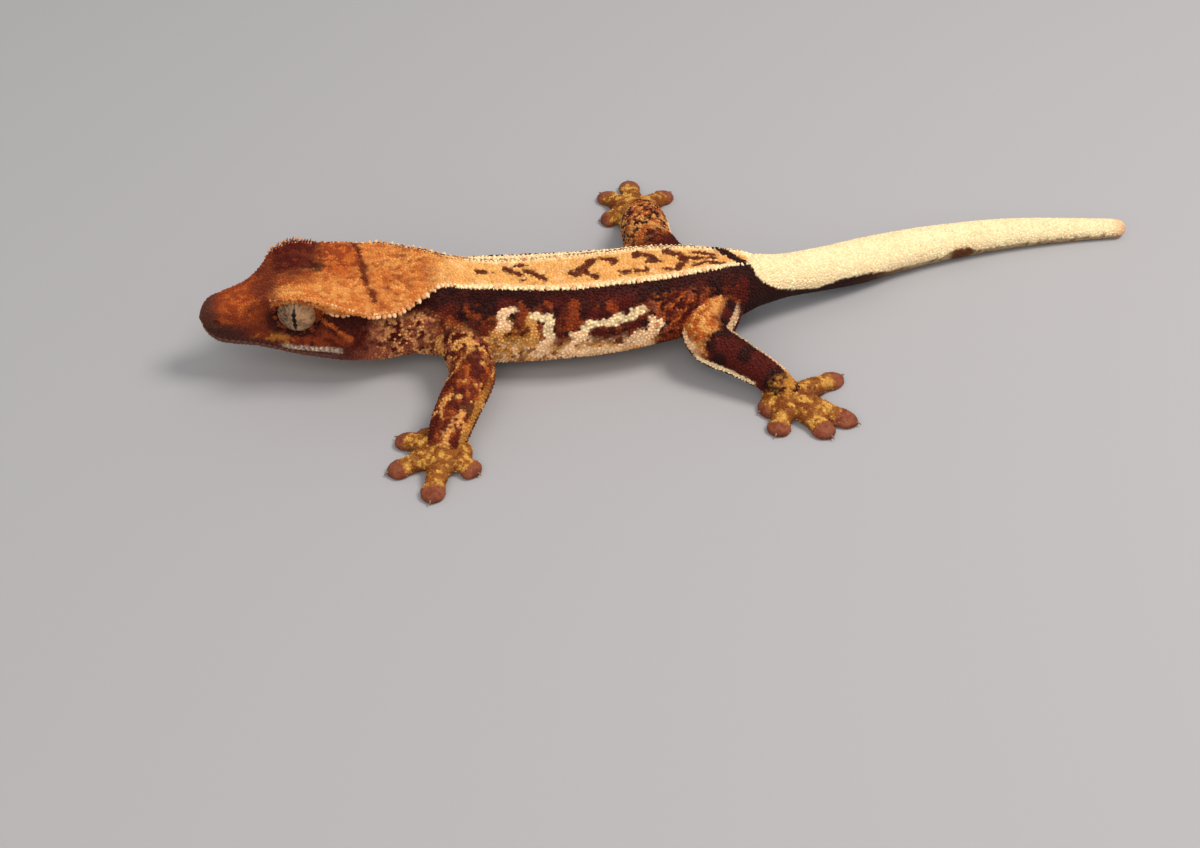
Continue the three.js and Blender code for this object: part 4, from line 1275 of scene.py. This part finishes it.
def make_crest():
    """Pointed scales: the fringe along each crest, and the lashes over the eyes."""
    rng = np.random.default_rng(41)
    rows = []
    for (start, end, pitch, thick, long, lean, v), side in itertools.product(CREST_ROWS, (1, -1)):
        s = np.arange(start, end, pitch)
        s = s + rng.uniform(-0.2, 0.2, len(s)) * pitch
        fall = TAN_DROP_PLACE(s) * (v >= 1)
        root = np.concatenate([body_point(a, v + b, side) for a, b in zip(s, fall)])
        _, along, left, up = spine_frame(s)
        out = unit(side * left + up * (0.55 - lean))
        way = unit(out + 0.35 * along + rng.normal(0, 0.16, (len(s), 3)))
        length = long * rng.uniform(0.7, 1.25, len(s))
        radius = thick * rng.uniform(0.85, 1.15, len(s))
        tint = fringe_tint(s, rng.random((len(s), 1)))
        roots = layout(np.full(len(s), BODY), make_tags(s, 0, v, side * CREST_OUT(s), side))
        rows.append((root - way * 0.1, way, unit(np.cross(way, up)), radius, length, tint, roots))
    place, axis, across, radius, length, tint, roots = joined(rows)
    points, faces = small_pieces(SPIKE, 0, place, axis, across, np.cross(axis, across), radius, length)
    shade = np.repeat(tint, POINTS_EACH, 0)
    foot = (np.arange(len(points)) % POINTS_EACH < SIDES)[:, None]
    shade = np.where(foot, shade * FRINGE_ROOT_SHADE, shade)
    return coat_piece("crest_fringe", points, faces, shade, roots)


# Rows of larger plates along each lip: (from station, to station, spacing, place on the section, radius)
LABIAL_ROWS = [(0.3, 16.0, LABIAL_PITCH, 3.28, 0.27), (0.45, 15.6, 0.7, 3.63, 0.25)]
LABIAL_HEIGHT = 0.16
LABIAL_STRETCH = 1.28


def make_lips():
    rows = []
    for (start, end, pitch, v, size), side in itertools.product(LABIAL_ROWS, (1, -1)):
        s = np.arange(start, end, pitch)
        root = body_point(s, v, side)
        ahead = unit(body_point(s + 0.2, v, side) - body_point(s - 0.2, v, side))
        upward = unit(body_point(s, v - 0.06, side) - body_point(s, v + 0.06, side))
        out = unit(np.cross(ahead, upward)) * side
        out = np.where(((root - spine_frame(s)[0]) * out).sum(1, keepdims=True) < 0, -out, out)
        scale = np.interp(s, [0, 3, 8, 16], [0.75, 1.0, 1.1, 0.7])
        tags = make_tags(s, np.interp(s, [0, 17], [3, 7]), v, side * 8.0, side)
        part = np.full(len(s), BODY)
        rows.append((root - out * 0.02, out, ahead, size * scale, LABIAL_HEIGHT * scale,
                     paint(root, part, tags), layout(part, tags)))
    place, normal, first, radius, height, tint, roots = joined(rows)
    grown = (place, normal, first, np.cross(normal, first), radius, height)
    points, faces = small_pieces(DOME, DOME_TWIST, *grown, LABIAL_STRETCH)
    return coat_piece("lip_scales", points, faces, np.repeat(tint, POINTS_EACH, 0), roots)


# Claws, one small brown hook past the pad of each toe
CLAW_REACH = 0.28
CLAW_RADIUS = 0.12
CLAW_BROWN = (140, 92, 66)


def make_claws():
    shell = Shell()
    for leg in LEGS.values():
        palm = np.array(leg["line"][-1])
        for tip in leg["toes"]:
            end = np.array([*tip, 0.42])
            away = unit(end * (1, 1, 0) - palm * (1, 1, 0))
            line = [end - away * 0.5, end - away * 0.12 + (0, 0, 0.1), end + away * CLAW_REACH * 0.6,
                    end + away * CLAW_REACH + (0, 0, -0.2)]
            rings, _, _ = tube(line, [(0, CLAW_RADIUS), (0.5, CLAW_RADIUS * 0.75), (1, 0.02)], 10, 10)
            shell.add_rings(rings, np.zeros((*rings.shape[:2], 5)), 0)
    points, faces, _, _ = shell.done()
    mesh = mesh_from("claws", points, faces)
    set_colours(mesh, plain(mesh.vertices, CLAW_BROWN))
    mesh.shade_smooth()
    return add_object("claws", mesh)


# Eyes: clear domes with a veined iris and a wavy upright slit
EYE_RINGS = 110
EYE_SIDES = 200
EYE_BULGE = 0.03
PUPIL_HALF = 1.35
PUPIL_WIDTH = 0.17
IRIS_BROWN = (88, 58, 40)
IRIS_SAND = (176, 132, 94)
IRIS_VEIN = (192, 160, 126)
IRIS_CLOUD = (74, 44, 30)
IRIS_SPECK = (60, 32, 22)
IRIS_GLOW = (200, 150, 96)
PUPIL_EDGE = (58, 28, 16)
PUPIL_BLACK = (5, 3, 2)
EYE_BACK = (18, 8, 6)


def iris(angle, around, x, y):
    """The eye's colour at each place, from its angle to the axis, its turn about it, and x and y across."""
    flat = np.stack([x, y, 0 * x], -1)
    spun = np.stack([np.cos(around) * 2.2, np.sin(around) * 2.2, angle * 1.1], -1)
    vein = np.abs(noise(spun, 0.22, 5) - 0.5) * 2
    fine = noise(spun * (1, 1, 3), 0.1, 9)
    # the wavy slit, widest where its edges bow out
    wave = PUPIL_WIDTH + 0.06 * np.cos(y * 2 * math.pi / 0.62) + 0.02 * np.cos(y * 2 * math.pi / 0.23 + 1)
    slit = wave * smooth(PUPIL_HALF, PUPIL_HALF - 0.45, np.abs(y))
    past = np.abs(x - 0.03 * np.sin(y * 3.1)) - slit
    return lay(
        plain(x, IRIS_BROWN),
        (IRIS_SAND, smooth(1.1, -1.0, x)),
        (IRIS_VEIN, smooth(0.5, 0.12, vein) * 0.45),
        (IRIS_CLOUD, flecks(flat, 0.5, 15, 0.5, 0.8) * 0.55),
        (IRIS_SPECK, smooth(0.55, 0.75, fine) * 0.3),
        (IRIS_GLOW, smooth(0.36, 0.2, np.abs(x)) * 0.35),
        (PUPIL_EDGE, smooth(0.1, 0.03, past) * 0.8),
        (PUPIL_BLACK, smooth(0.035, -0.02, past)),
        (EYE_BACK, smooth(1.12, 1.3, angle)),
    )


def make_eye(name, side):
    centre, look = eye_place(side)
    across = unit(np.cross(look, (0, 0, 1))) * side
    upright = np.cross(look, across) * side
    upright = upright if upright[2] > 0 else -upright
    angle = np.linspace(0.004, math.pi - 0.05, EYE_RINGS)
    turn = np.linspace(0, 2 * math.pi, EYE_SIDES, endpoint=False)
    a, t = np.broadcast_arrays(angle[:, None], turn[None])
    bulge = EYE_RADIUS * (1 + EYE_BULGE * np.exp(-((a / 0.6) ** 2)))
    x, y = np.sin(a) * np.cos(t), np.sin(a) * np.sin(t)
    way = x[..., None] * across + y[..., None] * upright + np.cos(a)[..., None] * look
    rings = centre + way * bulge[..., None]
    shell = Shell()
    shell.add_rings(rings, np.zeros((*rings.shape[:2], 5)), 0)
    points, faces, _, _ = shell.done()
    mesh = mesh_from(name, points, faces)
    local = points - centre
    px, py = local @ across, local @ upright
    reach = np.arccos(np.clip(unit(local) @ look, -1, 1))
    set_colours(mesh, iris(reach, np.arctan2(py, px), px, py))
    mesh.shade_smooth()
    return add_object(name, mesh)


# Finishes
GRAIN_LOW = 0.7
GRAIN_HIGH = 1.3
ROUGHNESS_SPREAD = 0.08


def add_node(tree, kind, inputs=None, **settings):
    """A shader node with its inputs set to numbers or linked to other nodes' sockets."""
    node = tree.nodes.new(kind)
    for key, value in settings.items():
        setattr(node, key, value)
    for key, value in (inputs or {}).items():
        if isinstance(value, bpy.types.NodeSocket):
            tree.links.new(value, node.inputs[key])
        else:
            node.inputs[key].default_value = value
    return node


def make_grain_group():
    """Fine unevenness of reptile skin: a shade to darken the colour by, and a height for bumps."""
    group = bpy.data.node_groups.new("skin grain", "ShaderNodeTree")
    for name, start in (("Size", 0.0003), ("Contrast", 0.3)):
        group.interface.new_socket(name, in_out="INPUT", socket_type="NodeSocketFloat").default_value = start
    for name in ("Shade", "Height"):
        group.interface.new_socket(name, in_out="OUTPUT", socket_type="NodeSocketFloat")
    given = group.nodes.new("NodeGroupInput")
    out = group.nodes.new("NodeGroupOutput")

    def maths(operation, inputs):
        return add_node(group, "ShaderNodeMath", inputs, operation=operation).outputs[0]

    place = add_node(group, "ShaderNodeTexCoord").outputs["Object"]
    rate = maths("DIVIDE", {0: 1.0, 1: given.outputs["Size"]})
    cells = add_node(group, "ShaderNodeTexVoronoi", {"Vector": place, "Scale": rate}, feature="F1")
    fine = add_node(group, "ShaderNodeTexNoise", {"Vector": place, "Scale": rate, "Detail": 4.0})
    dome = maths("SUBTRACT", {0: 1.0, 1: cells.outputs["Distance"]})
    mixed = maths("MULTIPLY_ADD", {0: fine.outputs["Fac"], 1: 0.5, 2: dome})
    group.links.new(mixed, out.inputs["Height"])
    shade = add_node(group, "ShaderNodeMapRange", {
        "Value": fine.outputs["Fac"],
        "From Min": 0.3,
        "From Max": 0.7,
        "To Min": maths("SUBTRACT", {0: 1.0, 1: given.outputs["Contrast"]}),
        "To Max": maths("ADD", {0: 1.0, 1: given.outputs["Contrast"]}),
    })
    group.links.new(shade.outputs[0], out.inputs["Shade"])
    return group


def new_material(name):
    """A material with nodes, and its shader."""
    material = bpy.data.materials.new(name)
    material.use_nodes = True
    return material, material.node_tree.nodes["Principled BSDF"]


def finish(name, grain, size, contrast, bump, roughness, **sockets):
    """A material that shows the painted colour, with grain in its colour, its roughness and its bumps."""
    material, shader = new_material(name)
    tree = material.node_tree
    for key, value in sockets.items():
        shader.inputs[key.replace("_", " ")].default_value = value
    paint_node = add_node(tree, "ShaderNodeAttribute", attribute_name="paint")
    skin_grain = add_node(tree, "ShaderNodeGroup", node_tree=grain)
    skin_grain.inputs["Size"].default_value = size
    skin_grain.inputs["Contrast"].default_value = contrast
    both = {0: paint_node.outputs["Color"], 1: skin_grain.outputs["Shade"]}
    shade = add_node(tree, "ShaderNodeVectorMath", both, operation="MULTIPLY")
    tree.links.new(shade.outputs[0], shader.inputs["Base Color"])
    rough = add_node(tree, "ShaderNodeMapRange", {
        "Value": skin_grain.outputs["Shade"],
        "From Min": GRAIN_LOW,
        "From Max": GRAIN_HIGH,
        "To Min": roughness + ROUGHNESS_SPREAD,
        "To Max": roughness - ROUGHNESS_SPREAD,
    })
    tree.links.new(rough.outputs[0], shader.inputs["Roughness"])
    relief = add_node(tree, "ShaderNodeBump", {
        "Height": skin_grain.outputs["Height"],
        "Strength": bump,
        "Distance": size / 3,
    })
    tree.links.new(relief.outputs["Normal"], shader.inputs["Normal"])
    return material


def dress(obj, material, slot, *nodes):
    obj.data.materials.append(material)
    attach(obj, "root")
    if nodes:
        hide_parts(*nodes)


# The floor, the lights and the camera, which stands on the gecko's left, 40 degrees above it
FLOOR_HALF = 1.5
FLOOR_GREY = (168, 168, 173)
WORLD_LIGHT = (1.0, 0.99, 0.97, 1)
WORLD_STRENGTH = 0.5
KEY_PLACE = (0.19, 0.0, 0.34)
FILL_PLACE = (-0.12, -0.42, 0.36)
CAMERA_PLACE = (-4.54, -166.44, 127.97)
CAMERA_DOWN = 40
CAMERA_LENS = 55.5


def make_floor(height):
    mesh = bpy.data.meshes.new("floor")
    corners = [(x * FLOOR_HALF, y * FLOOR_HALF, height) for x, y in ((-1, -1), (1, -1), (1, 1), (-1, 1))]
    mesh.from_pydata(corners, [], [(0, 1, 2, 3)])
    floor = add_object("floor", mesh)
    material, shader = new_material("pale floor")
    shader.inputs["Base Color"].default_value = (*colour(FLOOR_GREY), 1)
    shader.inputs["Roughness"].default_value = 0.9
    mesh.materials.append(material)


def add_lamp(name, kind, place, target, **settings):
    data = bpy.data.lights.new(name, kind)
    for key, value in settings.items():
        setattr(data, key, value)
    lamp = add_object(name, data)
    lamp.location = place
    lamp.rotation_euler = (Vector(target) - Vector(place)).to_track_quat("-Z", "Y").to_euler()


def make_camera():
    data = bpy.data.cameras.new("camera")
    data.lens = CAMERA_LENS
    data.sensor_width = 36
    data.clip_start = 0.005
    data.clip_end = 20
    camera = add_object("camera", data)
    camera.location = (np.array(CAMERA_PLACE) + SHIFT) * MM
    camera.rotation_euler = Euler((math.radians(90 - CAMERA_DOWN), 0, 0))
    bpy.context.scene.camera = camera


def light_scene():
    centre = ((np.array(cad_box[0]) + np.array(cad_box[1])) / 2).tolist()
    world = bpy.data.worlds.new("soft room light")
    world.use_nodes = True
    sky = world.node_tree.nodes["Background"]
    sky.inputs["Color"].default_value = WORLD_LIGHT
    sky.inputs["Strength"].default_value = WORLD_STRENGTH
    bpy.context.scene.world = world
    add_lamp("key", "AREA", KEY_PLACE, centre, energy=1.06, size=0.14, color=(1.0, 0.93, 0.84))
    add_lamp("fill", "AREA", FILL_PLACE, centre, energy=1.28, size=0.45, color=(1.0, 0.94, 0.86))
    bpy.context.scene.view_settings.view_transform = "Standard"


# Making it all
GAP_PAINTED_SHADE = 0.86  # painted shade: the skin between the scales is darkened a little, as if shaded by them
FLESH = ["head", "neck", "torso", "tail_base", "tail_middle", "tail_tip"]
FLESH += [f"{leg}_{piece}" for leg in LEGS for piece in ("upper", "lower", "foot")]

shell = make_shell()
skin = make_skin(*shell[:2])
skin_points, _ = read_mesh(skin.data)
# the skin's colour is darkened by painted shade for the gaps between the scales
set_colours(skin.data, paint(skin_points, *locate(skin_points, shell)) * GAP_PAINTED_SHADE)

grain = make_grain_group()
hide = finish("scaly hide", grain, 0.00028, 0.16, 0.6, 0.6, Specular_IOR_Level=0.15)
bead = finish("scale beads", grain, 0.00016, 0.1, 0.25, 0.58, Specular_IOR_Level=0.14)
horn = finish("pale crest horn", grain, 0.00012, 0.08, 0.2, 0.42, Specular_IOR_Level=0.4)
claw = finish("dark claw", grain, 0.0002, 0.2, 0.2, 0.3)
lens = finish("veined eye", grain, 0.00009, 0.06, 0.02, 0.5,
              Coat_Weight=0.3, Coat_Roughness=0.02, Specular_IOR_Level=0.05)

dress(skin, hide, "skin", *FLESH)
for piece in make_scales(skin, shell):
    dress(piece, bead, "skin")
dress(make_crest(), horn, "skin")
dress(make_lips(), bead, "skin")
dress(make_claws(), claw, "foot_skin")
for side, name in ((1, "eye_left"), (-1, "eye_right")):
    dress(make_eye("veined_" + name, side), lens, "eye", name)

make_floor(cad_box[0][2])
light_scene()
make_camera()
